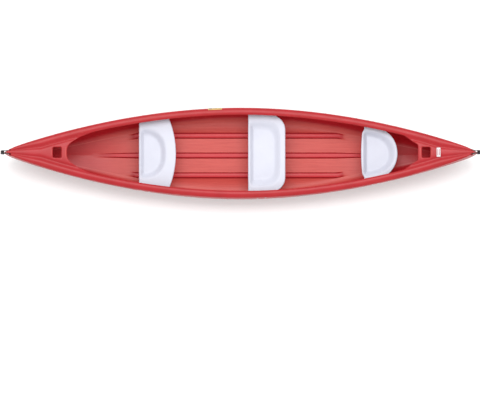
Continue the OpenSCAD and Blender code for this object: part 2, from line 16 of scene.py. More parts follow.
import bmesh
import bpy
import numpy as np
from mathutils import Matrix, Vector


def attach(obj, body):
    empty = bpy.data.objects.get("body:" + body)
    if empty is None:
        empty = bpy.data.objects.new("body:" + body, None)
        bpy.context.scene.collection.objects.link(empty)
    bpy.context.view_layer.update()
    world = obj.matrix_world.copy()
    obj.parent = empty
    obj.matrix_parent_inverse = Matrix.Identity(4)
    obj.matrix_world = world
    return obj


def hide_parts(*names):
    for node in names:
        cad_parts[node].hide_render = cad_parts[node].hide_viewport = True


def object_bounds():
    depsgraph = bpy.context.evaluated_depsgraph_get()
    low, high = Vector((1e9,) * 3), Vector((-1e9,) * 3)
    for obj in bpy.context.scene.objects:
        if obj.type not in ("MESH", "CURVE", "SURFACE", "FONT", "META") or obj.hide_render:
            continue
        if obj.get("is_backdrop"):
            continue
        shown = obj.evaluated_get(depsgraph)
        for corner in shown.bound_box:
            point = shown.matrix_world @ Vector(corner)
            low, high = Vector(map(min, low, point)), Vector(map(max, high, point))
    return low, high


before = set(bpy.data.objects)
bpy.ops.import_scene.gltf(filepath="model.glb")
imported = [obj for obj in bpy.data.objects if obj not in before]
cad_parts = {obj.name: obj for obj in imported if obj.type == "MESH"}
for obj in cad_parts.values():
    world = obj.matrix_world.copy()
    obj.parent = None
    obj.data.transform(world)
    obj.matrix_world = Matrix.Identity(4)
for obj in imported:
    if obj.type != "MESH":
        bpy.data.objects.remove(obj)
CAD_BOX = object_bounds()

MM = 0.001
HULL_BODY = "canoe"
LOG = logging.getLogger("canoe")

Array = np.ndarray
Colour = tuple[float, float, float, float]
Object = bpy.types.Object
Material = bpy.types.Material
Node = bpy.types.Node
Socket = bpy.types.NodeSocket
Edge = Callable[[Array], Array]


# ------------------------------------------------------------------ mesh tools
@dataclass
class Shape:
    """Points in millimetres with the faces that join them."""

    points: Array
    faces: list[list[int]]

    def joined(self, other: "Shape") -> "Shape":
        """This shape and another one as a single shape with two islands."""
        shift = len(self.points)
        moved = [[i + shift for i in f] for f in other.faces]
        return Shape(np.vstack([self.points, other.points]), self.faces + moved)

    def placed(self, turn: Array, origin: Array) -> "Shape":
        """The shape turned by a 3 by 3 matrix and then moved."""
        return Shape(self.points @ np.asarray(turn).T + np.asarray(origin), self.faces)


def ease(value: Array) -> Array:
    """Smooth step from 0 to 1: 3 v squared less 2 v cubed."""
    v = np.clip(value, 0.0, 1.0)
    return v * v * (3.0 - 2.0 * v)


def grid_faces(rows: int, cols: int, wrap_cols: bool = False, wrap_rows: bool = False) -> Array:
    """Quads of a grid of points stored row by row.

    Args:
        rows: Number of rows of points.
        cols: Number of points in a row.
        wrap_cols: Whether the last column joins the first.
        wrap_rows: Whether the last row joins the first.

    Returns:
        One row of four point numbers for each quad.
    """
    i = np.arange(rows if wrap_rows else rows - 1)[:, None]
    j = np.arange(cols if wrap_cols else cols - 1)[None, :]
    below, beside = (i + 1) % rows, (j + 1) % cols
    corners = [i * cols + j, below * cols + j, below * cols + beside, i * cols + beside]
    return np.stack(corners, -1).reshape(-1, 4)


def surface(
    points: Array, wrap_cols: bool = False, wrap_rows: bool = False, caps: bool = False
) -> Shape:
    """A grid of points as a shape.

    Args:
        points: Rows by columns by three coordinates.
        wrap_cols: Whether each row is a closed loop.
        wrap_rows: Whether the last row joins the first.
        caps: Whether the first and last rows are closed with a face each.

    Returns:
        The shape.
    """
    rows, cols = points.shape[:2]
    faces = grid_faces(rows, cols, wrap_cols, wrap_rows).tolist()
    if caps:
        last = (rows - 1) * cols
        faces += [list(range(cols))[::-1], list(range(last, last + cols))]
    return Shape(points.reshape(-1, 3), faces)


def round_corners(points: Array, reach: float = 0.42, steps: int = 4) -> Array:
    """Replaces each inner corner of a polyline by a short parabola.

    The curve runs from a share of the way back along the leg before the corner to the same share
    of the leg after it, with the corner as its control point.

    Args:
        points: Any number of polylines by points by coordinates.
        reach: Share of each leg that the curve takes.
        steps: Points on each curve.

    Returns:
        The polylines with their corners rounded.
    """
    before, corner, after = points[:, :-2], points[:, 1:-1], points[:, 2:]
    start, end = corner + (before - corner) * reach, corner + (after - corner) * reach
    start, corner, end = (place[:, :, None] for place in (start, corner, end))
    t = np.linspace(0.0, 1.0, steps)[None, None, :, None]
    curve = (1 - t) ** 2 * start + 2 * t * (1 - t) * corner + t**2 * end
    flat = curve.reshape(points.shape[0], -1, points.shape[2])
    return np.concatenate([points[:, :1], flat, points[:, -1:]], 1)


def rounded_rectangle(length: float, width: float, corner: float, steps: int) -> Array:
    """Points round a rectangle with round corners, about the origin.

    Args:
        length: Its size along the first axis.
        width: Its size along the second axis.
        corner: Radius of its corners.
        steps: Points on each corner.

    Returns:
        The points, as a closed loop.
    """
    turn = np.radians(np.linspace(0, 90, steps))
    quarter = np.stack([np.cos(turn), np.sin(turn)], -1) * corner
    quarter += [length / 2 - corner, width / 2 - corner]
    half = np.concatenate([quarter, (quarter * [-1, 1])[::-1]])
    return np.concatenate([half, -half])


def mesh_object(name: str, shape: Shape, closed: bool = True) -> Object:
    """Makes a mesh object from a shape, with doubles merged and faces outwards.

    Args:
        name: Name of the piece.
        shape: Its points in millimetres and its faces.
        closed: Whether the shape encloses a space, so that its normals can be worked out.

    Returns:
        The object, in the scene at the origin.
    """
    mesh = bpy.data.meshes.new(name)
    mesh.from_pydata((shape.points * MM).tolist(), [], shape.faces)
    tool = bmesh.new()
    tool.from_mesh(mesh)
    bmesh.ops.remove_doubles(tool, verts=tool.verts, dist=2e-6)
    bmesh.ops.dissolve_degenerate(tool, edges=tool.edges, dist=1e-7)
    if closed:
        bmesh.ops.recalc_face_normals(tool, faces=tool.faces)
    tool.to_mesh(mesh)
    tool.free()
    obj = bpy.data.objects.new(name, mesh)
    bpy.context.scene.collection.objects.link(obj)
    return obj


def settle(obj: Object) -> Object:
    """Applies an object's modifiers by keeping its evaluated mesh."""
    bpy.context.view_layer.update()
    done = bpy.data.meshes.new_from_object(obj.evaluated_get(bpy.context.evaluated_depsgraph_get()))
    done.name = obj.name
    obj.modifiers.clear()
    obj.data = done
    return obj


class Join(Enum):
    """How one solid works on another."""

    CUT = "DIFFERENCE"
    ADD = "UNION"


def combine(obj: Object, tools: Sequence[Object], how: Join) -> Object:
    """Cuts solids from an object or adds them to it, and removes the tools.

    Args:
        obj: The object that stays.
        tools: The solids that work on it, in order.
        how: Whether they cut or add.

    Returns:
        The object with its new mesh.
    """
    for tool in tools:
        modifier = obj.modifiers.new("combine", "BOOLEAN")
        modifier.operation = how.value
        modifier.solver = "MANIFOLD"
        modifier.object = tool
    settle(obj)
    for tool in tools:
        bpy.data.objects.remove(tool)
    return obj


def smooth(obj: Object, sharp_degrees: float = 38.0) -> None:
    """Shades a mesh smoothly, except over edges sharper than an angle."""
    mesh = obj.data
    mesh.polygons.foreach_set("use_smooth", np.ones(len(mesh.polygons), bool))
    mesh.set_sharp_from_angle(angle=math.radians(sharp_degrees))
    mesh.update()


def mark_wear(obj: Object) -> None:
    """Stores how far each point stands proud of its neighbours, as the attribute "wear".

    For each edge, the direction to the other end times the point's normal is summed over the
    point's edges: it is negative on a ridge and positive in a hollow. The mean is scaled so that
    0.5 is flat, 1 is a sharp ridge and 0 a sharp hollow.
    """
    mesh = obj.data
    count = len(mesh.vertices)
    co = np.empty(count * 3, np.float32)
    normal = np.empty(count * 3, np.float32)
    ends = np.empty(len(mesh.edges) * 2, np.int32)
    mesh.vertices.foreach_get("co", co)
    mesh.vertex_normals.foreach_get("vector", normal)
    mesh.edges.foreach_get("vertices", ends)
    co, normal, ends = co.reshape(-1, 3), normal.reshape(-1, 3), ends.reshape(-1, 2)
    away = co[ends[:, 1]] - co[ends[:, 0]]
    away /= np.maximum(np.linalg.norm(away, axis=1, keepdims=True), 1e-9)
    total, number = np.zeros(count), np.zeros(count)
    np.add.at(total, ends[:, 0], np.einsum("ij,ij->i", away, normal[ends[:, 0]]))
    np.add.at(total, ends[:, 1], -np.einsum("ij,ij->i", away, normal[ends[:, 1]]))
    np.add.at(number, ends.ravel(), 1)
    proud = np.clip(0.5 - total / np.maximum(number, 1), 0.0, 1.0)
    store_value(obj, "wear", proud)


def store_value(obj: Object, name: str, values: Array) -> None:
    """Stores one number for each point of a mesh as an attribute."""
    layer = obj.data.attributes.new(name, "FLOAT", "POINT")
    layer.data.foreach_set("value", np.asarray(values, np.float32))


@dataclass(frozen=True)
class Berth:
    """Where a piece belongs: its body, its finish's slot and the CAD nodes it stands for."""

    body: str
    slot: str
    nodes: tuple[str, ...] = ()


def berth_piece(obj: Object, berth: Berth, *materials: Material) -> None:
    """Gives a finished piece its materials and its place in the frame, and reports it.

    Args:
        obj: The piece, with its final mesh.
        berth: Its body and CAD nodes; its slot is not used.
        materials: Its materials, in the order of its faces' numbers.
    """
    obj.data.materials.clear()
    for material in materials:
        obj.data.materials.append(material)
    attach(obj, berth.body)
    if berth.nodes:
        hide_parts(*berth.nodes)
    LOG.info("%s: %d faces on %s", obj.name, len(obj.data.polygons), berth.body)


# ---------------------------------------------------------------- shader tools
class Graph:
    """Short calls that add nodes to a shader tree and join them."""

    def __init__(self, tree: bpy.types.NodeTree) -> None:
        """Wraps a material's tree or a node group."""
        self.tree = tree

    def node(self, kind: str, feeds: dict | None = None, **settings: object) -> Node:
        """Adds a node.

        Args:
            kind: Its type, without the leading "ShaderNode".
            feeds: Values or sockets for its inputs, by name or number.
            settings: Its own properties.

        Returns:
            The node.
        """
        made = self.tree.nodes.new("ShaderNode" + kind)
        for name, value in settings.items():
            setattr(made, name, value)
        for name, value in (feeds or {}).items():
            self.feed(made.inputs[name], value)
        return made

    def feed(self, socket: Socket, value: object) -> None:
        """Links a socket to another one, or sets its value."""
        if isinstance(value, Socket):
            self.tree.links.new(value, socket)
        else:
            socket.default_value = value

    def calc(self, kind: str, a: object, b: object = 0.0, c: object = 0.0) -> Socket:
        """One arithmetic step, such as ADD or MULTIPLY, on up to three values."""
        return self.node("Math", {0: a, 1: b, 2: c}, operation=kind).outputs[0]

    def blend(self, share: object, a: object, b: object, kind: str = "MIX") -> Socket:
        """Mixes two colours."""
        made = self.node("Mix", data_type="RGBA", blend_type=kind)
        self.feed(made.inputs[0], share)
        self.feed(made.inputs[6], a)
        self.feed(made.inputs[7], b)
        return made.outputs[2]

    def step(
        self, value: object, low: float, high: float, to: tuple[float, float] = (0, 1)
    ) -> Socket:
        """Eases a value from one number to another as it goes from low to high."""
        return self.node(
            "MapRange",
            {0: value, 1: low, 2: high, 3: to[0], 4: to[1]},
            interpolation_type="SMOOTHSTEP",
        ).outputs[0]

    def noise(self, at: object, scale: float, detail: float = 3.0, rough: float = 0.55) -> Socket:
        """Fractal noise between 0 and 1."""
        feeds = {"Vector": at, "Scale": scale, "Detail": detail, "Roughness": rough}
        return self.node("TexNoise", feeds).outputs[0]

    def stretched(self, at: object, by: tuple[float, float, float]) -> Socket:
        """A position with each axis scaled."""
        return self.node("VectorMath", {0: at, 1: by}, operation="MULTIPLY").outputs[0]

    def stored(self, name: str) -> Socket:
        """A value that the mesh stores at its points."""
        return self.node("Attribute", attribute_name=name, attribute_type="GEOMETRY").outputs["Fac"]

    def group(self, name: str, feeds: dict) -> Node:
        """Places a shared effect with its own values."""
        made = self.tree.nodes.new("ShaderNodeGroup")
        made.node_tree = bpy.data.node_groups[name]
        for key, value in feeds.items():
            self.feed(made.inputs[key], value)
        return made


def start_group(
    name: str, takes: dict[str, str], gives: dict[str, str]
) -> tuple[Graph, dict[str, Socket], Node]:
    """Starts a shared effect.

    Args:
        name: Its name.
        takes: Its inputs and their kinds, Float, Vector or Color.
        gives: Its outputs and their kinds.

    Returns:
        The graph, the inputs by name, and the output node to feed.
    """
    tree = bpy.data.node_groups.new(name, "ShaderNodeTree")
    for key, kind in takes.items():
        tree.interface.new_socket(key, in_out="INPUT", socket_type="NodeSocket" + kind)
    for key, kind in gives.items():
        tree.interface.new_socket(key, in_out="OUTPUT", socket_type="NodeSocket" + kind)
    start, end = tree.nodes.new("NodeGroupInput"), tree.nodes.new("NodeGroupOutput")
    return Graph(tree), {key: start.outputs[key] for key in takes}, end


def build_shared_effects() -> None:
    """Builds the effects that more than one finish uses.

    "moulded skin" gives the orange-peel height of rotomoulded plastic and its slow mottle.
    "long scuffs" gives thin scratches that run fore and aft, and their height.
    "proud edges" reads the wear attribute and gives masks for ridges and hollows; the plastics paint
    shade into the hollows.
    """
    g, takes, end = start_group(
        "moulded skin", {"At": "Vector", "Peel": "Float"}, {"Height": "Float", "Mottle": "Float"}
    )
    fine = g.noise(takes["At"], 260.0, 2.0)
    slow = g.noise(takes["At"], 34.0, 3.0)
    peel = g.calc("MULTIPLY", fine, takes["Peel"])
    g.feed(end.inputs["Height"], g.calc("MULTIPLY_ADD", slow, 0.6, peel))
    g.feed(end.inputs["Mottle"], g.noise(takes["At"], 5.5, 4.0, 0.6))

    g, takes, end = start_group(
        "long scuffs", {"At": "Vector", "Amount": "Float"}, {"Mask": "Float", "Height": "Float"}
    )
    lines = g.noise(g.stretched(takes["At"], (1.6, 62.0, 62.0)), 3.2, 5.0, 0.7)
    patches = g.noise(g.stretched(takes["At"], (1.0, 3.0, 3.0)), 2.1, 3.0)
    thin = g.step(lines, 0.52, 0.74)
    worn = g.calc("MULTIPLY", g.step(patches, 0.36, 0.66), takes["Amount"])
    g.feed(end.inputs["Mask"], g.calc("MULTIPLY", thin, worn))
    g.feed(end.inputs["Height"], g.calc("SUBTRACT", 1.0, thin))

    g, takes, end = start_group(
        "proud edges", {"At": "Vector", "Amount": "Float"}, {"Ridge": "Float", "Hollow": "Float"}
    )
    wear = g.stored("wear")
    ragged = g.noise(takes["At"], 46.0, 4.0, 0.65)
    ridge = g.step(g.calc("MULTIPLY_ADD", ragged, 0.10, wear), 0.62, 0.80)
    g.feed(end.inputs["Ridge"], g.calc("MULTIPLY", ridge, takes["Amount"]))
    g.feed(end.inputs["Hollow"], g.calc("MULTIPLY", g.step(wear, 0.47, 0.30), takes["Amount"]))


def new_material(name: str) -> tuple[Material, Graph, Socket, Node]:
    """Starts a material.

    Args:
        name: Its name.

    Returns:
        The material, its graph, the Object coordinates and its Principled shader.
    """
    material = bpy.data.materials.new(name)
    material.use_nodes = True
    graph = Graph(material.node_tree)
    shader = material.node_tree.nodes["Principled BSDF"]
    at = graph.node("TexCoord").outputs["Object"]
    return material, graph, at, shader


def add_bump(graph: Graph, shader: Node, height: object, strength: float, depth: float) -> None:
    """Feeds a height to the shader's normal through a Bump node."""
    bump = graph.node("Bump", {"Strength": strength, "Distance": depth, "Height": height})
    graph.feed(shader.inputs["Normal"], bump.outputs["Normal"])


@dataclass(frozen=True)
class MouldedPlastic:
    """Rotomoulded polyethylene: a soft sheen, orange peel, slow mottle, scuffs, worn edges and
    painted shade in hollows.
    """

    name: str
    colour: Colour
    mottled: Colour
    scuffed: Colour
    # Painted shade colour for the ribs' slopes and for the outer skin below the knuckle.
    shaded: Colour = (0.4, 0.4, 0.4, 1.0)
    # Painted highlight colour, brightening the ribs' crowns on the hull.
    rubbed_and_highlight: Colour = (0.6, 0.6, 0.6, 1.0)
    roughness: float = 0.32
    scuffs: float = 0.5
    peel: float = 0.35
    edge_wear_and_shade: float = 0.4
    sheen: float = 0.34
    # Painted shade colour, multiplied into hollows.
    hollow_shade: Colour = (0.5, 0.42, 0.42, 1.0)
    floor_dust: float = 0.0
    glow: float = 0.0
    glow_colour: Colour = (1.0, 0.012, 0.03, 1.0)

    def material(self) -> Material:
        """Builds the material; where it gathers dust it also gets painted highlights, painted shade
        and a painted glow.
        """
        material, g, at, shader = new_material(self.name)
        skin = g.group("moulded skin", {"At": at, "Peel": self.peel})
        scuffs = g.group("long scuffs", {"At": at, "Amount": self.scuffs})
        edges = g.group("proud edges", {"At": at, "Amount": self.edge_wear_and_shade})
        colour = g.blend(g.step(skin.outputs["Mottle"], 0.35, 0.7), self.colour, self.mottled)
        if self.floor_dust > 0:
            colour = self.hull_tones(g, at, colour)
            # Painted glow: the inner skin below the gunwales emits a faint red, standing in for
            # light through the plastic wall.
            shader.inputs["Emission Color"].default_value = self.glow_colour
            lit = g.calc("MULTIPLY", g.stored("inside"), self.glow)
            g.feed(shader.inputs["Emission Strength"], lit)
        colour = g.blend(scuffs.outputs["Mask"], colour, self.scuffed)
        colour = g.blend(edges.outputs["Ridge"], colour, self.scuffed)
        # Painted shade: the colour in hollows is multiplied darker.
        colour = g.blend(edges.outputs["Hollow"], colour, self.hollow_shade, "MULTIPLY")
        g.feed(shader.inputs["Base Color"], colour)
        rough = g.calc("MULTIPLY_ADD", scuffs.outputs["Mask"], 0.25, self.roughness)
        rough = g.calc("MULTIPLY_ADD", skin.outputs["Mottle"], 0.08, rough)
        g.feed(shader.inputs["Roughness"], rough)
        shader.inputs["Specular IOR Level"].default_value = self.sheen
        height = g.calc("MULTIPLY_ADD", scuffs.outputs["Height"], 0.12, skin.outputs["Height"])
        add_bump(g, shader, height, 0.35, 0.0012)
        return material

    def hull_tones(self, g: Graph, at: Socket, colour: Socket) -> Socket:
        """Paints highlights on the ribs' crowns, paints shade on their slopes and below the knuckle,
        and dusts the floor.

        Dust lies on faces that look up near the bottom of the hull, in streaks, away from the
        ribs and thinner towards the ends.

        Args:
            g: The material's graph.
            at: Object coordinates, in metres.
            colour: The plastic's colour so far.

        Returns:
            The colour with the tones.
        """
        place = g.node("SeparateXYZ", {0: at}).outputs
        normal = g.node("NewGeometry").outputs["Normal"]
        facing = g.node("SeparateXYZ", {0: normal}).outputs["Z"]
        low = g.step(place["Z"], 0.150, 0.060)
        rib, slope, under = (g.stored(name) for name in ("rib", "rib_slope", "turned_under"))
        # Painted highlight: the ribs' crowns near the floor are brightened.
        crown = g.calc("MULTIPLY", g.step(rib, 0.3, 1.0), low)
        colour = g.blend(g.calc("MULTIPLY", crown, 0.8), colour, self.rubbed_and_highlight)
        # Painted shade on the ribs' slopes and on the outer skin below the knuckle.
        shade = g.calc("MAXIMUM", g.step(slope, 0.0, 0.85, (0.0, 0.95)), under)
        colour = g.blend(shade, colour, self.shaded)
        floor = g.calc("MULTIPLY", low, g.step(facing, 0.80, 0.985))
        ends = g.step(g.calc("ABSOLUTE", place["X"]), 1.80, 1.05, (0.05, 1.0))
        off_rib = g.step(rib, 0.5, 0.0, (0.08, 1.0))
        level = g.calc("MULTIPLY", g.calc("MULTIPLY", floor, ends), off_rib)
        streaks = g.noise(g.stretched(at, (1.2, 26.0, 1.0)), 2.4, 4.0, 0.6)
        streaks = g.step(streaks, 0.25, 0.75, (0.65 * self.floor_dust, self.floor_dust))
        return g.blend(g.calc("MULTIPLY", level, streaks), colour, self.scuffed)


@dataclass(frozen=True)
class BrushedSteel:
    """Stainless fasteners: fine turned lines with a little tarnish."""

    name: str = "fastener_steel"
    colour: Colour = (0.56, 0.57, 0.59, 1.0)
    tarnish: Colour = (0.26, 0.25, 0.24, 1.0)

    def material(self) -> Material:
        """Builds the metal material."""
        material, g, at, shader = new_material(self.name)
        lines = g.noise(g.stretched(at, (40.0, 40.0, 900.0)), 4.0, 3.0)
        spots = g.step(g.noise(at, 90.0, 4.0), 0.5, 0.72)
        edges = g.group("proud edges", {"At": at, "Amount": 0.6})
        dull = g.calc("MAXIMUM", spots, edges.outputs["Hollow"])
        g.feed(shader.inputs["Base Color"], g.blend(dull, self.colour, self.tarnish))
        g.feed(shader.inputs["Roughness"], g.step(lines, 0.2, 0.8, (0.20, 0.38)))
        shader.inputs["Metallic"].default_value = 1.0
        add_bump(g, shader, lines, 0.15, 0.0002)
        return material


@dataclass(frozen=True)
class CellFoam:
    """Closed-cell flotation foam: small irregular cells with open skins."""

    name: str = "flotation_foam"
    colour: Colour = (0.83, 0.82, 0.76, 1.0)
    shade: Colour = (0.62, 0.60, 0.53, 1.0)

    def material(self) -> Material:
        """Builds the matt, pitted material."""
        material, g, at, shader = new_material(self.name)
        cells = g.node("TexVoronoi", {"Vector": at, "Scale": 190.0}).outputs["Distance"]
        patches = g.noise(at, 12.0, 3.0)
        colour = g.blend(g.step(cells, 0.15, 0.6), self.shade, self.colour)
        g.feed(shader.inputs["Base Color"], g.blend(g.step(patches, 0.4, 0.8), colour, self.shade))
        shader.inputs["Roughness"].default_value = 0.9
        add_bump(g, shader, cells, 0.6, 0.002)
        return material


@dataclass(frozen=True)
class PrintedFilm:
    """Printed vinyl film: one ink under a thin gloss, rubbed thin in places."""

    name: str
    ink: Colour
    rubbed_and_highlight: Colour
    roughness: float = 0.3

    def material(self) -> Material:
        """Builds the ink with its rubbed patches."""
        material, g, at, shader = new_material(self.name)
        rub = g.step(g.noise(g.stretched(at, (3.0, 9.0, 9.0)), 14.0, 5.0, 0.7), 0.52, 0.78)
        scuffs = g.group("long scuffs", {"At": at, "Amount": 0.8})
        mask = g.calc("MAXIMUM", g.calc("MULTIPLY", rub, 0.6), scuffs.outputs["Mask"])
        g.feed(shader.inputs["Base Color"], g.blend(mask, self.ink, self.rubbed_and_highlight))
        g.feed(shader.inputs["Roughness"], g.calc("MULTIPLY_ADD", mask, 0.25, self.roughness))
        return material


# ------------------------------------------------------------------ hull lines
@dataclass(frozen=True)
class HullLines:
    """The hull's form: widths, heights and sections along u, -1 at the bow to 1 at the stern."""

    length: float = 4950.0
    beam: float = 950.0
    mid_height: float = 408.0
    bow_rise: float = 133.0
    stern_rise: float = 143.0
    wall: float = 6.0
    flat_width: float = 690.0
    knuckle_height: float = 195.0
    knuckle_end_height: float = 313.0
    rocker: float = 38.0
    forefoot: float = 32.0
    gunwale_width: float = 80.0
    band_height: float = 46.0
    band_step: float = 10.0
    crease_depth: float = 13.0
    rib_width: float = 60.0
    rib_depth: float = 15.0
    rib_offset: float = 210.0
    rib_slant: float = 15.0
    rib_margin: float = 5.0
    side_rib_squeeze: float = 0.87
    side_rib_squeeze_run: float = 0.12
    side_rib_end: float = 0.57
    side_rib_run: float = 0.10
    centre_rib_end: float = 0.74
    centre_rib_run: float = 0.20
    tip_half: float = 6.0
    fullness: float = 1.95
    nose_share: float = 0.04
    nose_power: float = 70.0
    flat_run: float = 0.35
    end_deadrise: float = 0.35
    rocker_power: float = 3
    forefoot_power: float = 14
    bow_sheer_power: float = 4.2
    stern_sheer_power: float = 3.4
    taper_start: float = 0.3
    taper_power: float = 1.5
    end_flat_share: float = 0.4
    bilge_power: float = 2.3
    lip_reach: float = 150.0
    cavity_end: float = 0.966
    profile: tuple = ((0, 27), (6, 13), (20, 4), (42, 0), (63, 2), (80, 12), (100, 17), (118, 7))
    spine_crest: float = 6.0
    bow_stem: tuple = (400.0, 378.0, 40.0)
    stern_stem: tuple = (600.0, 350.0, 48.0)

    @property
    def half_length(self) -> float:
        """Half the hull's length."""
        return self.length / 2

    def beyond_flat(self, u: Array) -> Array:
        """How far u lies past the straight run of the keel, from 0 to 1."""
        return np.clip((np.abs(u) - self.flat_run) / (1 - self.flat_run), 0, None)

    def keel_z(self, u: Array) -> Array:
        """Keel height: rocker times w cubed plus the forefoot times w to the 14th."""
        w = self.beyond_flat(u)
        return self.rocker * w**self.rocker_power + self.forefoot * w**self.forefoot_power

    def sheer_z(self, u: Array) -> Array:
        """Height of the gunwale's crest: the end's rise times a power of u."""
        u = np.asarray(u, float)
        bow = self.bow_rise * np.clip(-u, 0, None) ** self.bow_sheer_power
        stern = self.stern_rise * np.clip(u, 0, None) ** self.stern_sheer_power
        return self.mid_height + bow + stern

    def deadrise(self, u: Array) -> Array:
        """Slope of the bottom across the boat."""
        return self.end_deadrise * self.beyond_flat(u) ** 2

    def half_width(self, u: Array) -> Array:
        """Half width over the gunwales: 1 - (1 - t)^1.95, with a blunt nose and a rounded tip."""
        t = 1 - np.clip(np.abs(u), 0, 1)
        plan = (1 - self.nose_share) * (1 - (1 - t) ** self.fullness)
        plan = plan + self.nose_share * (1 - (1 - t) ** self.nose_power)
        back = np.clip(t * self.half_length / self.tip_half, 0, 1)
        tip = self.tip_half * np.sqrt(1 - (1 - back) ** 2)
        return tip + (self.beam / 2 - self.tip_half) * plan

    def stem_x(self, u: Array, z: Array) -> Array:
        """Reach of the stem at height z: an ellipse below its foremost point, a parabola above."""
        u, z = np.broadcast_arrays(np.asarray(u, float), np.asarray(z, float))
        bow = u < 0
        run = np.where(bow, self.bow_stem[0], self.stern_stem[0])
        knee = np.where(bow, self.bow_stem[1], self.stern_stem[1])
        setback = np.where(bow, self.bow_stem[2], self.stern_stem[2])
        top = np.where(bow, self.sheer_z(-1.0), self.sheer_z(1.0))
        low = np.clip((knee - z) / knee, 0, 1)
        high = np.clip((z - knee) / (top - knee), 0, None)
        return self.half_length - run * (1 - np.sqrt(1 - low**2)) - setback * high**2

    def flat_half(self, u: Array) -> Array:
        """Half width of the flat bottom."""
        past = (np.abs(u) - self.taper_start) / (1 - self.taper_start)
        e = np.clip(past, 0, None) ** self.taper_power
        b = self.half_width(u)
        return b * self.flat_width / self.beam * (1 - e) + self.end_flat_share * b * e

    def knuckle_z(self, u: Array) -> Array:
        """Height of the side's knuckle."""
        rise = self.knuckle_end_height - self.knuckle_height
        return self.knuckle_height + rise * np.asarray(u) ** 2

    def lip_scale(self, u: Array) -> Array:
        """How much the gunwale's shape shrinks where the hull is narrow."""
        return np.minimum(1, self.half_width(u) / self.lip_reach)

    def crease_z(self, u: Array) -> Array:
        """Height of the crease under the gunwale's band."""
        return self.sheer_z(u) - (self.band_height + self.band_step) * self.lip_scale(u)

    def side_half(self, u: Array, z: Array, inset: float) -> Array:
        """Half width at height z: a superellipse bilge up to the knuckle, then a straight side."""
        g, b = self.lip_scale(u), self.half_width(u)
        k = self.keel_z(u) + self.deadrise(u) * self.flat_half(u) + inset
        top = self.knuckle_z(u)
        f, w = self.flat_half(u) - inset / 2, b - g - inset
        c = b - self.crease_depth * g - inset
        p = self.bilge_power
        below = f + (w - f) * (1 - np.clip((top - z) / (top - k), 0, 1) ** p) ** (1 / p)
        above = w + (c - w) * np.clip((z - top) / (self.crease_z(u) - top), 0, 1)
        return np.where(z < top, below, above)

    def side_y(self, x: Array, z: Array, inset: float = 0.0) -> Array:
        """Half width of the side at a place along the boat."""
        return self.side_half(x / self.stem_x(x, z), z, inset)

    def squeeze(self, u: Array) -> Array:
        """How much the floor shrinks across the boat where the flat bottom is narrow."""
        ribs = self.rib_offset + self.rib_width / 2 + self.rib_margin
        return np.minimum(1, self.flat_half(u) / ribs)

    def rib_edges(self, inset: float) -> tuple[float, float]:
        """Half a rib's width at its foot and at its crown."""
        mouth = self.rib_width / 2 + inset / 2
        return mouth, self.rib_width / 2 - self.rib_slant + inset / 2

    def rib_share(self, u: Array, across: Array, inset: float) -> tuple[Array, Array]:
        """How far up the ribs' slopes a point of the floor is, and how much of their depth is left.

        Args:
            u: Stations along the hull.
            across: Distances from the keel line, as if the section were not squeezed.
            inset: How far the floor lies inside the outer skin.

        Returns:
            The share from a rib's foot to its crown, and the share of its full depth there.
        """
        mouth, crown = self.rib_edges(inset)
        side = ease((self.squeeze(u) - self.side_rib_squeeze) / self.side_rib_squeeze_run)
        side = side * ease((self.side_rib_end - np.abs(u)) / self.side_rib_run)
        centre = ease((self.centre_rib_end - np.abs(u)) / self.centre_rib_run)
        up_centre = ease((mouth - across) / (mouth - crown))
        up_side = ease((mouth - np.abs(across - self.rib_offset)) / (mouth - crown))
        return up_centre + up_side, np.where(across < self.rib_offset / 2, centre, side)

    def rib_lift(self, u: Array, across: Array, inset: float) -> Array:
        """Height of the floor's ribs at a distance from the keel line."""
        up, left = self.rib_share(u, across, inset)
        return self.rib_depth * up * left

    def floor_across(self, inset: float) -> Array:
        """Distances from the keel line where the floor is worked out, close at the ribs."""
        mouth, crown = self.rib_edges(inset)
        slope = np.linspace(crown, mouth, 6)
        flat = np.linspace(mouth + 1, self.rib_offset - mouth - 1, 6)
        return np.concatenate(
            [
                [0.0, crown * 0.5],
                slope,
                flat,
                self.rib_offset - slope[::-1],
                [self.rib_offset],
                self.rib_offset + slope,
            ]
        )

    def half_section(self, u: Array, inset: float) -> Array:
        """Half a section at each u: keel, floor with ribs, bilge, side, gunwale and deck.

        Args:
            u: Stations along the hull.
            inset: How far the section lies inside the outer skin.

        Returns:
            Stations by points by distance from the middle and height.
        """
        u = np.asarray(u, float)[:, None]
        g, b, crest = self.lip_scale(u), self.half_width(u), self.sheer_z(u)
        across = self.floor_across(inset)[None, :]
        y = across * self.squeeze(u)
        keel, slope = self.keel_z(u), self.deadrise(u)
        floor = np.stack([y, keel + slope * y + self.rib_lift(u, across, inset) + inset], -1)
        f, k = self.flat_half(u) - inset / 2, keel + slope * self.flat_half(u) + inset
        top, w = self.knuckle_z(u), b - g - inset
        turn = np.radians(np.linspace(0, 90, 22))[None, :]
        out, down = (way ** (2 / self.bilge_power) for way in (np.sin(turn), np.cos(turn)))
        bilge = np.stack([f + (w - f) * out, top - (top - k) * down], -1)
        c = b - self.crease_depth * g - inset
        rise = np.linspace(0, 1, 9)[None, 1:-1]
        side = np.stack([w + (c - w) * rise, top + (self.crease_z(u) - top) * rise], -1)
        corners = [[c, self.crease_z(u)], [b - inset, crest - self.band_height * g]]
        corners += [[b - inset - q * g, crest - inset - d * g] for q, d in self.profile]
        corners += [[0 * b, crest - inset - self.spine_crest * g]]
        rim = np.concatenate([np.stack(q, -1) for q in corners], 1)
        rim = round_corners(np.concatenate([side[:, -1:], rim], 1))[:, 1:]
        return np.concatenate([floor, bilge, side, rim], 1)

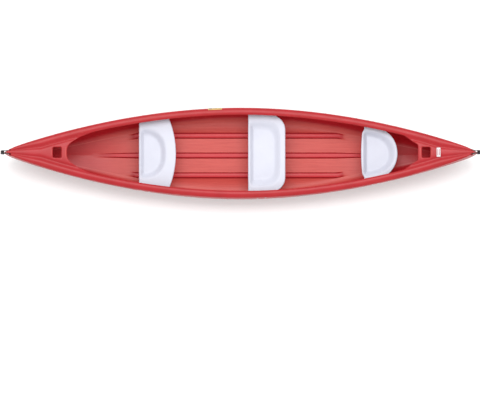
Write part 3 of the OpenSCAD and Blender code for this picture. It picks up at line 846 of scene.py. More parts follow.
    def skin(self, stations: Array, inset: float) -> Shape:
        """The closed skin through the sections at some stations.

        Args:
            stations: Values of u, from bow to stern.
            inset: How far the skin lies inside the outer one.

        Returns:
            The shape, closed at both ends.
        """
        half = self.half_section(stations, inset)
        loop = np.concatenate([half, half[:, -2:0:-1] * [-1, 1]], 1)
        z = loop[:, :, 1]
        reach = self.stem_x(stations[:, None], z if inset == 0 else np.maximum(z, inset))
        points = np.stack([stations[:, None] * reach, loop[:, :, 0], z], -1)
        shape = surface(points, wrap_cols=True)
        n, m = half.shape[1], loop.shape[1]
        if inset > 0:
            j = np.arange(1, n - 2)
            ladder = np.stack([j, j + 1, m - j - 1, m - j], -1)
            cap = [[0, 1, m - 1]] + ladder.tolist() + [[n - 2, n - 1, n]]
            last = (len(stations) - 1) * m
            shape.faces += [f[::-1] for f in cap] + [[last + i for i in f] for f in cap]
        return shape

    def top_z(self, x: Array, y: Array) -> Array:
        """Height of the gunwale or deck above a point of the plan."""
        u = x / self.stem_x(x, self.sheer_z(x / self.half_length))
        g, b = self.lip_scale(u), self.half_width(u)
        inward, depth = np.array(self.profile, float).T
        drop = np.interp((b - np.abs(y)) / g, inward, depth)
        return self.sheer_z(u) - drop * g


# ------------------------------------------------------------------------ hull
@dataclass
class Hull:
    """The one moulding: skin, decks, gunwales and ribbed floor, open at the cockpit."""

    lines: HullLines
    finish: MouldedPlastic
    bow_deck: float = 658.0
    stern_deck: float = 626.0
    bow_bar: float = 62.0
    stern_bar: float = 45.0
    hole_length: float = 83.0
    hole_width: float = 106.0
    hole_corner: float = 10.0
    bow_round: float = 420.0
    stern_corner: float = 80.0
    stern_bevel: float = 0.66
    rim_round: float = 12.0
    hole_round: float = 14.0
    stations: int = 220
    opening_depth: float = 100.0
    sill_depth: float = 70.0
    cutter_height: float = 400.0
    roll_angles: tuple = (0, 15, 30, 45, 60, 75, 84)
    level_angle: float = 75.0
    rim_shadow: float = 60.0
    # Strength of the painted shade just below the knuckle.
    knuckle_shade: float = 0.62
    pivot_setback: float = 50.0
    pocket_radius: float = 30.0
    pocket_run: float = 100.0
    tang: float = 26.0
    pivots: dict = field(default_factory=lambda: {-1: 495.0, 1: 508.0})

    @property
    def cockpit_ends(self) -> tuple[float, float]:
        """Where the cockpit starts and ends along the boat."""
        half = self.lines.half_length
        return -half + self.bow_deck, half - self.stern_deck

    def hole_places(self) -> tuple[float, float]:
        """Where the two hand holes' middles are."""
        bow, stern = self.cockpit_ends
        half = self.hole_length / 2
        return bow - self.bow_bar - half, stern + self.stern_bar + half

    def opening_half(self, x: Array) -> Array:
        """Half width of the cockpit: inside the gunwales, round at the bow, bevelled astern."""
        bow, stern = self.cockpit_ends
        level = np.where(x < 0, self.lines.sheer_z(-1.0), self.lines.sheer_z(1.0))
        stem = self.lines.stem_x(x, level - self.opening_depth)
        clear = self.lines.half_width(x / stem) - self.lines.gunwale_width
        into_bow = np.clip((bow + self.bow_round - x) / self.bow_round, 0, 1)
        bevel = self.stern_corner + self.stern_bevel * (stern - x)
        return np.minimum(clear * (1 - into_bow**3) ** (1 / 3), bevel)

    def cockpit_outline(self) -> Array:
        """The cockpit's edge as a closed loop, evenly spaced, with softened corners."""
        bow, stern = self.cockpit_ends
        x = bow + (stern - bow) * (1 - np.cos(np.pi * np.linspace(0, 1, 400))) / 2
        side = np.stack([x, self.opening_half(x)], -1)
        loop = np.concatenate([side, side[::-1] * [1, -1]])
        return self.evened(loop, spacing=8.0, soften=2)

    @staticmethod
    def evened(loop: Array, spacing: float, soften: int) -> Array:
        """Spaces a closed loop's points evenly and averages each with its neighbours.

        Args:
            loop: Points of the plan.
            spacing: Distance between the new points.
            soften: How many times they are averaged.

        Returns:
            The new points.
        """
        ring = np.concatenate([loop, loop[:1]])
        run = np.concatenate([[0], np.cumsum(np.linalg.norm(np.diff(ring, axis=0), axis=1))])
        at = np.linspace(0, run[-1], int(run[-1] / spacing), endpoint=False)
        even = np.stack([np.interp(at, run, ring[:, 0]), np.interp(at, run, ring[:, 1])], -1)
        for _ in range(soften):
            even = (np.roll(even, 1, 0) + 2 * even + np.roll(even, -1, 0)) / 4
        return even

    def hole_outline(self, middle: float) -> Array:
        """A hand hole's edge: a rounded rectangle round a place on the middle line."""
        loop = rounded_rectangle(self.hole_length, self.hole_width, self.hole_corner, 9)
        return self.evened(loop + [middle, 0], spacing=3.0, soften=1)

    def flared_cutter(self, outline: Array, flare: float) -> Shape:
        """A solid that cuts an opening and rolls its upper edge over.

        The wall is upright up to the roll, then follows a quarter circle outwards: at an angle a
        it stands flare (1 - cos a) outside the outline, flare (sin 75 - sin a) below the deck.

        Args:
            outline: The opening's edge in plan.
            flare: Radius of the rolled edge.

        Returns:
            The closed solid.
        """
        tangent = np.roll(outline, -1, 0) - np.roll(outline, 1, 0)
        tangent /= np.linalg.norm(tangent, axis=1, keepdims=True)
        x, y = outline.T
        turn = np.sum(x * np.roll(y, -1) - y * np.roll(x, -1))
        away = np.stack([tangent[:, 1], -tangent[:, 0]], -1) * np.sign(turn)
        sill = self.lines.mid_height - self.sill_depth
        rows = [np.column_stack([outline, np.full(len(outline), sill)])]
        for degrees in self.roll_angles:
            a = math.radians(degrees)
            edge = outline + away * flare * (1 - math.cos(a))
            lift = flare * (math.sin(a) - math.sin(math.radians(self.level_angle)))
            rows.append(np.column_stack([edge, self.lines.top_z(edge[:, 0], edge[:, 1]) + lift]))
        top = np.full(len(outline), sill + self.cutter_height)
        rows.append(np.column_stack([rows[-1][:, :2], top]))
        return surface(np.stack(rows), wrap_cols=True, caps=True)

    def pocket_cutter(self, end: int, side: int) -> Shape:
        """A round-bottomed pocket beside the stem for a handle's ear, open up and outwards."""
        r, run = self.pocket_radius, self.pocket_run
        turn = np.radians(np.linspace(-90, 0, 24))
        bottom = np.stack([np.cos(turn), np.sin(turn)], -1) * r
        edge = np.concatenate([bottom, [[r, run], [-run, run], [-run, -r]]])
        x = end * (self.lines.half_length - self.pivot_setback) - end * edge[:, 0]
        z = edge[:, 1] + self.pivots[end]
        near, far = side * self.tang / 2, side * (self.tang / 2 + run)
        rings = [np.stack([x, np.full_like(x, y), z], -1) for y in (near, far)]
        return surface(np.stack(rings), wrap_cols=True, caps=True)

    def mark_skin(self, obj: Object) -> None:
        """Stores where each point lies on the moulding.

        The attribute "rib" is the share of a rib's depth, "rib_slope" is 1 half way up its side,
        "turned_under" is the painted shade on the outer skin below the knuckle, growing to 1 at the
        keel, and "inside" is 1 on the inner skin below the gunwales, where the painted glow shows.
        """
        co = np.empty(len(obj.data.vertices) * 3, np.float32)
        obj.data.vertices.foreach_get("co", co)
        x, y, z = co.reshape(-1, 3).T / MM
        lines = self.lines
        u = np.clip(x / lines.stem_x(x / lines.half_length, z), -1, 1)
        up, left = lines.rib_share(u, np.abs(y) / lines.squeeze(u), lines.wall)
        floor = lines.keel_z(u) + lines.deadrise(u) * np.abs(y) + lines.rib_depth * up * left
        outside = (np.abs(y) > lines.side_half(u, z, lines.wall / 2)) | (z < floor + lines.wall / 2)
        knuckle = lines.knuckle_z(u)
        # Painted shade below the knuckle: it grows towards the keel on the outer skin.
        under = np.clip((knuckle - 1 - z) / (knuckle - lines.keel_z(u)), 0, 1)
        tone = self.knuckle_shade + (1 - self.knuckle_shade) * under
        store_value(obj, "rib", up * left)
        store_value(obj, "rib_slope", 4 * up * (1 - up) * left)
        store_value(obj, "turned_under", np.where(outside & (under > 0), tone, 0.0))
        below_rim = ease((lines.sheer_z(u) - self.rim_shadow - z) / self.rim_shadow)
        store_value(obj, "inside", np.where(outside, 0.0, below_rim))

    def build(self) -> Object:
        """Moulds the skin, hollows it, opens it and dresses it."""
        u = -np.cos(np.pi * np.arange(self.stations + 1) / self.stations)
        shares = np.array([0.0, 0.04, 0.15, 0.35, 0.65, 1.0])
        nose = 1 - self.lines.tip_half * shares / self.lines.half_length
        inner = u[np.abs(u) < nose[-1] - 1e-4]
        every = np.concatenate([-nose, inner, nose[::-1]])
        outer = mesh_object("hull_shell", self.lines.skin(every, 0.0))
        hollow = mesh_object("hollow", self.lines.skin(u * self.lines.cavity_end, self.lines.wall))
        openings = self.flared_cutter(self.cockpit_outline(), self.rim_round)
        for middle in self.hole_places():
            hole = self.flared_cutter(self.hole_outline(middle), self.hole_round)
            openings = openings.joined(hole)
        for end in (-1, 1):
            for side in (-1, 1):
                openings = openings.joined(self.pocket_cutter(end, side))
        combine(outer, [hollow, mesh_object("openings", openings)], Join.CUT)
        smooth(outer, 34.0)
        mark_wear(outer)
        self.mark_skin(outer)
        berth_piece(outer, Berth(HULL_BODY, "hull_plastic", ("hull",)), self.finish.material())
        return outer


@dataclass
class FoamBlock:
    """A block of flotation foam that fills one end of the hull."""

    lines: HullLines
    finish: CellFoam
    end: str
    first: float
    last: float
    play: float = 9.0
    end_pull: float = 0.06

    def build(self) -> Object:
        """Lofts the block along the hull's own sections, pulled in at both ends to round them."""
        sign = -1 if self.end == "bow" else 1
        share = np.array([0.0, 0.01, 0.04, 0.12, 0.3, 0.5, 0.7, 0.88, 0.96, 0.99, 1.0])
        u = np.sort(sign * (self.first + (self.last - self.first) * share)) * self.lines.cavity_end
        shape = self.lines.skin(u, self.play)
        ring = len(shape.points) // len(u)
        points = shape.points.reshape(len(u), ring, 3)
        centre = points.mean(1, keepdims=True)
        blunt = 1 - np.sqrt(np.clip(1 - (2 * np.abs(share - 0.5)) ** 8, 0, 1))
        pull = (1 - self.end_pull * blunt)[:, None, None]
        shape.points = (centre + (points - centre) * pull).reshape(-1, 3)
        obj = mesh_object(f"{self.end}_flotation_foam", shape)
        smooth(obj, 40.0)
        berth = Berth(HULL_BODY, "foam", (f"{self.end}_foam_block",))
        berth_piece(obj, berth, self.finish.material())
        return obj


# ----------------------------------------------------------------------- seats
class SeatKind(Enum):
    """The three seats."""

    BOW = "bow"
    CENTRE = "centre"
    STERN = "stern"


@dataclass(frozen=True)
class Scoop:
    """A seat's bowl: its ends behind the front edge, its sides, its roundness and its depth."""

    start: float
    stop: float
    inward: float
    power: float
    depth: float


@dataclass(frozen=True)
class BackCorner:
    """A quarter ellipse at a seat's back: where it starts, its reach, its depth, the share drawn."""

    start: float
    reach: float
    depth: float
    share: float


@dataclass(frozen=True)
class SeatForm:
    """One seat's own sizes: front to back, rim below the gunwale, scoop and back corners."""

    length: float
    rim_drop: float
    scoop: Scoop
    corner: BackCorner | None = None


FORMS = {
    SeatKind.BOW: SeatForm(389, 137, Scoop(12, 290, 130, 2.5, 48)),
    SeatKind.CENTRE: SeatForm(
        391, 118, Scoop(14, 349, 105, 5, 45), BackCorner(254, 150, 134, 0.98)
    ),
    SeatKind.STERN: SeatForm(
        383, 116, Scoop(20, 365, 62, 2.2, 62), BackCorner(0, 252, 152, 0.985)
    ),
}


@dataclass
class Seat:
    """A moulded seat: a scooped top, an edge lip fore and aft, and flanges bolted to the sides."""

    lines: HullLines
    kind: SeatKind
    finish: MouldedPlastic
    thickness: float = 7.0
    flange: float = 58.0
    lip: float = 20.0
    edge: float = 7.0
    clearance: float = 7.1
    bow_setback: float = 1405.0
    stern_setback: float = 1215.0
    centre_front: float = 76.0
    bow_bulge: float = 92.0
    bow_bulge_half: float = 400.0
    stern_bulge: float = 12.0
    stern_step: float = 20.0
    scoop_edge: float = 0.24
    front_ramp: float = 45.0
    rows: int = 64
    columns: int = 44

    @property
    def form(self) -> SeatForm:
        """The seat's own sizes."""
        return FORMS[self.kind]

    @property
    def front_x(self) -> float:
        """Front edge on the middle line."""
        if self.kind is SeatKind.BOW:
            return self.bow_setback - self.lines.half_length
        if self.kind is SeatKind.CENTRE:
            return self.centre_front
        return self.lines.half_length - self.stern_setback

    def crest_at(self, x: float) -> float:
        """Height of the gunwale's crest at a place along the boat."""
        return float(self.lines.sheer_z(x / self.lines.stem_x(x, self.lines.mid_height + 60)))

    @property
    def top(self) -> float:
        """Height of the seat's rim."""
        if self.kind is SeatKind.CENTRE:
            return self.lines.mid_height - self.form.rim_drop
        inward = self.form.length / 2 if self.kind is SeatKind.STERN else 0.0
        return self.crest_at(self.front_x + inward) - self.form.rim_drop

    def front(self, y: Array) -> Array:
        """Front edge in plan: straight, and stepped at the stern seat's ends."""
        y = np.abs(y)
        if self.kind is not SeatKind.STERN:
            return np.full_like(y, self.front_x)
        bulge = self.stern_bulge * np.minimum(1, y / 200) ** 2
        return self.front_x + bulge + self.stern_step * ease((y - 195) / 40)

    def back(self, y: Array) -> Array:
        """Back edge in plan: bowed, with rounded corners, or half round."""
        y, end, corner = np.abs(y), self.front_x + self.form.length, self.form.corner
        if corner is None:
            share = 1 - np.minimum(1, y / self.bow_bulge_half) ** 2
            return end - self.bow_bulge + self.bow_bulge * share
        w = np.clip((y - corner.start) / corner.reach, 0, corner.share)
        return end - corner.depth * (1 - np.sqrt(1 - w * w))

    def dip(self, x: Array, y: Array, half: Array) -> Array:
        """Depth of the scoop: a superellipse bowl behind a front lip."""
        scoop = self.form.scoop
        behind = x - self.front_x - scoop.start
        along = np.clip(behind / (scoop.stop - scoop.start), 0, 2)
        across = np.abs(y) / (half - scoop.inward)
        r = (along**scoop.power + across**scoop.power) ** (1 / scoop.power)
        return scoop.depth * ease((1 - r) / self.scoop_edge) * ease(behind / self.front_ramp)

    def upper_face(self) -> Array:
        """The seat's outer face as a grid: flange, round edge, scooped top, edge and flange."""
        count = self.rows - 6
        inner = 2 * np.linspace(0, 1, count + 1) - 1
        share = np.concatenate([[-1, -1, -1], inner, [1, 1, 1]])
        hang = np.array([self.flange, self.flange / 2, self.edge])
        drop = np.concatenate([hang, 0 * inner, hang[::-1]])
        pull = np.where(np.abs(inner) > 0.999, self.edge, 0.0)
        pull = np.concatenate([[0, 0, 0], pull, [0, 0, 0]])
        flat = self.columns - 3
        columns = np.concatenate([[0, 0], np.linspace(0.012, 0.988, flat), [1, 1]])
        fold = np.array([self.lip, self.lip / 2])
        lip = np.concatenate([fold, np.zeros(flat), fold[::-1]])
        share, drop, pull = share[:, None], drop[:, None], pull[:, None]
        columns, lip = columns[None, :], lip[None, :]
        mid = (self.front(np.array(0.0)) + self.back(np.array(200.0))) / 2
        nominal = self.lines.side_y(mid, self.top, self.clearance)
        front, back = self.front(share * nominal), self.back(share * nominal)
        x = front + (back - front) * columns
        z = self.top - np.maximum(drop, lip)
        half = self.lines.side_y(x, z, self.clearance) - pull
        y = share * half
        on_top = drop < self.edge / 2
        z = np.where(on_top, z - self.dip(x, y, nominal), z)
        return np.stack([x, y, z], -1)

    def build(self) -> Object:
        """Shapes the upper face, gives it its wall and rounds it."""
        shape = surface(self.upper_face()[::-1])
        obj = mesh_object(f"{self.kind.value}_seat_shell", shape, closed=False)
        round_off = obj.modifiers.new("round", "SUBSURF")
        round_off.levels = round_off.render_levels = 1
        wall = obj.modifiers.new("wall", "SOLIDIFY")
        wall.thickness, wall.offset, wall.use_even_offset = self.thickness * MM, -1.0, False
        soften = obj.modifiers.new("soften", "BEVEL")
        soften.width, soften.segments, soften.limit_method = 1.6 * MM, 2, "ANGLE"
        soften.angle_limit = math.radians(60)
        settle(obj)
        smooth(obj, 40.0)
        mark_wear(obj)
        berth = Berth(HULL_BODY, "seat_plastic", (f"{self.kind.value}_seat",))
        berth_piece(obj, berth, self.finish.material())
        return obj


# ------------------------------------------------------------------- fasteners
@dataclass
class SeatBolts:
    """The four bolts that hold a seat, with domed heads outside the hull."""

    seat: Seat
    finish: Material
    reaches: tuple[float, float]
    drop: float = 30.0
    radius: float = 3.0
    head_radius: float = 11.0
    head_height: float = 5.0
    lift: float = 0.3
    shank: float = 24.6
    socket: float = 6.0
    socket_depth: float = 2.4
    segments: int = 24

    def template(self) -> Shape:
        """One bolt pointing along +Z, with its head's underside just above the origin.

        The rings run from the middle of a six-sided socket, whose ring at an angle a stands
        socket / (2 cos a) out, with a folded into 30 degrees either side of a flat, over a dome
        that is a cap of a sphere, and down the shank to its tip.
        """
        angle = np.linspace(0, 2 * np.pi, self.segments, endpoint=False)
        folded = (angle + np.pi / 6) % (np.pi / 3) - np.pi / 6
        six = self.socket / 2 / np.cos(folded)
        ball = (self.head_radius**2 + self.head_height**2) / (2 * self.head_height)

        def dome(radius: Array) -> Array:
            """Height of the head's cap."""
            return self.lift + self.head_height - ball + np.sqrt(ball**2 - radius**2)

        even = np.ones_like(angle)
        floor = (self.lift + self.head_height - self.socket_depth) * even
        rings = [(0 * even, floor), (0.96 * six, floor)]
        rings += [(six, dome(six) - 0.3), (six + 0.4, dome(six + 0.4))]
        rings += [(r * even, dome(r * even)) for r in (5.5, 8.0, 10.2)]
        brim, tip = self.head_radius, -self.shank
        below = [(brim, self.lift + 0.4), (brim - 0.2, self.lift), (self.radius, self.lift)]
        below += [(self.radius, tip + 0.8), (self.radius - 0.7, tip), (0.0, tip)]
        rings += [(r * even, z * even) for r, z in below]
        radius, height = np.array(rings).transpose(1, 0, 2)
        points = np.stack([radius * np.cos(angle), radius * np.sin(angle), height], -1)
        return surface(points, wrap_cols=True)

    def build(self) -> Object:
        """Sets the four bolts square to the hull's sides."""
        lines, seat, step = self.seat.lines, self.seat, 5.0
        z = seat.top - self.drop
        bolts = []
        for reach in self.reaches:
            x = seat.front_x + reach
            slope_x = float(lines.side_y(x + step, z) - lines.side_y(x - step, z)) / (2 * step)
            slope_z = float(lines.side_y(x, z + step) - lines.side_y(x, z - step)) / (2 * step)
            for side in (-1, 1):
                away = Vector((-slope_x, side, -slope_z)).normalized()
                turn = np.array(away.to_track_quat("Z", "X").to_matrix())
                at = np.array([x, side * float(lines.side_y(x, z)), z])
                bolts.append(self.template().placed(turn, at))
        name = f"{seat.kind.value}_seat_bolts"
        obj = mesh_object(f"{seat.kind.value}_seat_bolt_set", reduce(Shape.joined, bolts))
        smooth(obj, 35.0)
        mark_wear(obj)
        berth_piece(obj, Berth(HULL_BODY, "fastener_steel", (name,)), self.finish)
        return obj


# --------------------------------------------------------------------- handles
@dataclass
class CarryHandle:
    """A C-shaped handle that swings on a bolt through the stem."""

    end: int
    pivot_x: float
    pivot_z: float
    sweep: float
    finish: MouldedPlastic
    span: float = 103.0
    band: float = 12.0
    width: float = 40.0
    tang: float = 26.0
    ear_radius: float = 13.0
    hang: float = 56.4
    bridge_start: float = 68.0
    bore: float = 4.1
    gap: float = 0.3
    arm_start: float = 9.0
    arm_overlap: float = 8.0

    @property
    def name(self) -> str:
        """Which end of the boat the handle is on."""
        return "bow" if self.end < 0 else "stern"

    @property
    def thickness(self) -> float:
        """Thickness of an ear and its arm, from the tang to the handle's side."""
        return (self.width - self.tang) / 2 - self.gap

    def section(self, width: float, corner: float) -> Array:
        """A rounded rectangle: offsets across the band's thickness and across the boat."""
        return rounded_rectangle(self.band, width, corner, 6)

    def arc(self, start: float, stop: float, width: float, middle: float, corner: float) -> Shape:
        """Carries the band's section along the handle's arc.

        At an angle a round the arc's centre, a point that stands t proud of the band's middle is
        at radius span / 2 + t. The ends shrink towards the middle to round them off.

        Args:
            start: First angle from the pivot, in degrees.
            stop: Last angle.
            width: Width of the band there.
            middle: Its middle across the boat.
            corner: Radius of its edges.

        Returns:
            The closed shape, about the pivot.
        """
        steps = max(8, int((stop - start) / 2.5))
        blunt = np.array([0.0, 0.35, 0.9, 1.8])
        even = np.linspace(start + 3.2, stop - 3.2, steps)
        angles = np.concatenate([start + blunt, even, stop - blunt[::-1]])
        shrink = np.array([0.55, 0.8, 0.93, 0.985])
        size = np.concatenate([shrink, np.ones(steps), shrink[::-1]])[:, None]
        outline = self.section(width, corner)
        turn = np.radians(self.hang + angles)[:, None]
        radius = self.span / 2 + outline[None, :, 0] * size
        across = middle + outline[None, :, 1] * np.maximum(size, 1 - 2.0 / width)
        hang, middle_radius = math.radians(self.hang), self.span / 2
        x = radius * np.cos(turn) - middle_radius * math.cos(hang)
        z = radius * np.sin(turn) - middle_radius * math.sin(hang)
        return surface(np.stack([x, across + 0 * x, z], -1), wrap_cols=True, caps=True)

    def ear(self, side: int) -> Shape:
        """A rounded disc round the pivot's bore, on one side of the stem."""
        thick, r, hole = self.thickness, self.ear_radius, self.bore
        edge, half_turn, bevel = 1.5, 0.44, 0.4
        inner = [[hole, bevel], [hole + bevel, 0.0], [r - edge, 0.0]]
        inner = np.array(inner + [[r - half_turn, half_turn], [r, edge]])
        profile = np.concatenate([inner, (inner * [1, -1] + [0, thick])[::-1]])
        angle = np.linspace(0, 2 * np.pi, 64, endpoint=False)[None, :]
        radius, height = profile[:, :1], profile[:, 1:]
        y = side * (self.width / 2 - thick + height) + 0 * angle
        points = np.stack([radius * np.cos(angle), y, radius * np.sin(angle)], -1)
        return surface(points, wrap_cols=True, wrap_rows=True)

    def build(self) -> Object:
        """Joins ears, arms and band, and turns them to the boat's end."""
        arm, arm_stop = self.thickness, self.bridge_start + self.arm_overlap
        offset = (self.width - arm) / 2
        sides = (-1, 1)
        shapes = [self.arc(self.bridge_start, self.sweep, self.width, 0.0, 3.2)]
        shapes += [self.arc(self.arm_start, arm_stop, arm, side * offset, 1.8) for side in sides]
        shapes += [self.ear(side) for side in sides]
        place = np.array([self.end * self.pivot_x, 0.0, self.pivot_z])
        mirror = np.diag([-self.end, 1, 1])
        parts = [mesh_object(f"part_{i}", s.placed(mirror, place)) for i, s in enumerate(shapes)]
        obj = combine(parts[0], parts[1:], Join.ADD)
        obj.name = f"{self.name}_carry_loop"
        smooth(obj, 40.0)
        mark_wear(obj)
        berth = Berth(f"{self.name}_carry_handle", "handle_plastic", (f"{self.name}_handle",))
        berth_piece(obj, berth, self.finish.material())
        return obj


# -------------------------------------------------------------- films and plate
@dataclass
class SkinFilm:
    """Thin printed film that lies on the hull's skin."""

    lines: HullLines
    lift: float = 0.35
    thickness: float = 0.4

    def sheet(self, face: Array, outward: Array) -> Shape:
        """Gives a grid on the skin its film thickness.

        Args:
            face: Rows by columns of points on the skin.
            outward: The direction that the film stands proud in, for each point.

        Returns:
            The closed film.
        """
        low, high = face + outward * self.lift, face + outward * (self.lift + self.thickness)
        loop = np.concatenate([low, high[:, ::-1]], 1)
        return surface(loop, wrap_cols=True, caps=True)


@dataclass
class PortEmblem(SkinFilm):
    """A plain device on the port side: three slanted bars over a flat one, no lettering."""

    x_range: tuple[float, float] = (522.0, 789.0)
    z_range: tuple[float, float] = (234.0, 346.0)
    slant: float = 0.16
    bar_middles: tuple[float, ...] = (0.27, 0.47, 0.67)
    bar_half: float = 0.055
    bar_heights: tuple[float, float] = (0.42, 0.82)

    def patch(self, left: Edge, right: Edge, low: float, high: float) -> Shape:
        """A film patch between two edges, with shares of the emblem's length and height.

        Args:
            left: Its left edge at each height share.
            right: Its right edge.
            low: Its lowest height share.
            high: Its highest one.

        Returns:
            The film.
        """
        t = np.linspace(low, high, 16)[None, :]
        s = left(t) + (right(t) - left(t)) * np.linspace(0, 1, 24)[:, None]
        x = self.x_range[0] + (self.x_range[1] - self.x_range[0]) * s
        z = self.z_range[0] + (self.z_range[1] - self.z_range[0]) * t + 0 * s
        y = -self.lines.side_y(x, z)
        face = np.stack([x, y, z], -1)
        return self.sheet(face, np.array([0.0, -1.0, 0.0]))

    def build(self, pale: PrintedFilm, dark: PrintedFilm) -> None:
        """Cuts the pale lozenge, its dark slanted bars and the bar beneath."""
        lozenge = self.patch(
            lambda t: 0.10 - self.slant * (t - 0.6) + 0.10 * (2 * np.abs(t - 0.62)) ** 3,
            lambda t: 0.92 + self.slant * (t - 0.6) - 0.06 * (2 * np.abs(t - 0.62)) ** 3,
            0.26,
            0.98,
        )
        base = mesh_object("port_emblem_ground", lozenge)
        smooth(base)
        berth_piece(base, Berth(HULL_BODY, "emblem_film", ("port_emblem",)), pale.material())
        bars = self.patch(lambda t: 0.22 + 0.02 * t, lambda t: 0.76 + 0.05 * t, 0.02, 0.17)
        for middle in self.bar_middles:
            near, far = middle - self.bar_half, middle + self.bar_half
            bar = self.patch(
                lambda t, at=near: at + self.slant * (t - 0.6),
                lambda t, at=far: at + self.slant * (t - 0.6),
                *self.bar_heights,
            )
            bars = bars.joined(bar)
        bars.points = bars.points - [0.0, self.thickness, 0.0]
        marks = mesh_object("port_emblem_marks", bars)
        smooth(marks)
        berth_piece(marks, Berth(HULL_BODY, "emblem_film"), dark.material())


@dataclass
class StarboardLabel(SkinFilm):
    """A yellow film round the starboard gunwale's outer edge."""

    x_range: tuple[float, float] = (-343.0, -197.0)
    build_up: float = 1.6

    def build(self, ground: PrintedFilm, bars: PrintedFilm) -> None:
        """Lays the film over the rounded edge, with plain bars along it."""
        film = mesh_object("starboard_label_film", self.strip(0.0, 1.0, 0.0, 1.0))
        smooth(film)
        berth_piece(film, Berth(HULL_BODY, "label_film", ("starboard_label",)), ground.material())
        self.lift += self.thickness
        marks = self.strip(0.06, 0.30, 0.22, 0.72)
        for first, last in ((0.36, 0.66), (0.72, 0.93)):
            marks = marks.joined(self.strip(first, last, 0.30, 0.50))
        obj = mesh_object("starboard_label_bars", marks)
        smooth(obj)
        berth_piece(obj, Berth(HULL_BODY, "label_film"), bars.material())

    def strip(self, first: float, last: float, low: float, high: float) -> Shape:
        """The film between two shares of its length and of its run up the edge."""
        start, stop = self.x_range
        x = (start + (stop - start) * np.linspace(first, last, 20))[:, None]
        u = x / self.lines.stem_x(x, self.lines.sheer_z(x / self.lines.half_length))
        b, crest = self.lines.half_width(u), self.lines.sheer_z(u)
        path = np.array([[0.0, 27.0], [1.5, 20.0], [6.0, 12.6], [12.0, 7.8], [18.0, 4.9]])
        run = np.linspace(0, 1, len(path))
        t = np.linspace(low, high, 14)
        inward, depth = (np.interp(t, run, way)[None, :] for way in path.T)
        face = np.stack([x + 0 * inward, b - inward, crest - depth], -1)
        lean = np.radians(70 * (1 - t))[None, :] + 0 * x
        outward = np.stack([0 * lean, np.sin(lean), np.cos(lean)], -1)
        return self.sheet(face, outward * self.build_up)


@dataclass
class DeckPlate:
    """A small white plate riveted to the stern deck's spine, with two plain stripes."""

    lines: HullLines
    hull: Hull
    length: float = 40.0
    width: float = 96.0
    thickness: float = 1.5
    lift: float = 1.4
    behind_hole: float = 87.0
    stripe_x: float = 9.0

    @property
    def middle(self) -> float:
        """Where the plate's middle is along the boat."""
        return self.hull.hole_places()[1] + self.hull.hole_length / 2 + self.behind_hole

    def deck_z(self, x: float) -> float:
        """Height of the deck's middle line."""
        u = x / self.lines.stem_x(x, self.lines.mid_height + 60)
        return float(self.lines.sheer_z(u) - self.lines.spine_crest * self.lines.lip_scale(u))

    def placed(self, shape: Shape) -> Shape:
        """Tips a shape to the deck's slope and sets it on the deck."""
        reach = self.length / 2
        rise = self.deck_z(self.middle + reach) - self.deck_z(self.middle - reach)
        slope = math.atan2(rise, self.length)
        c, s = math.cos(slope), math.sin(slope)
        turn = np.array([[c, 0, -s], [0, 1, 0], [s, 0, c]])
        return shape.placed(turn, [self.middle, 0.0, self.deck_z(self.middle) + self.lift])

    def slab(self, length: float, width: float, corner: float, base: float, height: float) -> Shape:
        """A rounded rectangle with a softened upper edge."""
        edge = rounded_rectangle(length, width, corner, 8)
        soft = min(0.4, height / 2)
        inward = 1 - 2 * np.array([0.0, 0.0, soft * 0.3, soft])[:, None] / np.array([length, width])
        heights = base + np.array([0.0, height - soft, height - soft * 0.3, height])
        flat = edge[None] * inward[:, None]
        level = np.broadcast_to(heights[:, None, None], flat[:, :, :1].shape)
        return surface(np.concatenate([flat, level], -1), wrap_cols=True, caps=True)

    def build(self, white: MouldedPlastic, stripe: PrintedFilm, steel: Material) -> None:
        """Makes the plate and its stripes, and gives the CAD rivets their steel."""
        sheet = self.slab(self.length, self.width, 4.0, 0.0, self.thickness)
        plate = mesh_object("stern_deck_plate_sheet", self.placed(sheet))
        smooth(plate)
        mark_wear(plate)
        berth = Berth(HULL_BODY, "plate_plastic", ("stern_deck_plate",))
        berth_piece(plate, berth, white.material())
        bars = [self.slab(7.0, 62.0, 1.0, self.thickness - 0.05, 0.2) for _ in range(2)]
        for bar, offset in zip(bars, (-self.stripe_x, self.stripe_x)):
            bar.points = bar.points + [offset, 0.0, 0.0]
        obj = mesh_object("stern_deck_plate_stripes", self.placed(reduce(Shape.joined, bars)))
        smooth(obj)
        berth_piece(obj, Berth(HULL_BODY, "plate_plastic"), stripe.material())
        dress_node("plate_rivets", steel)


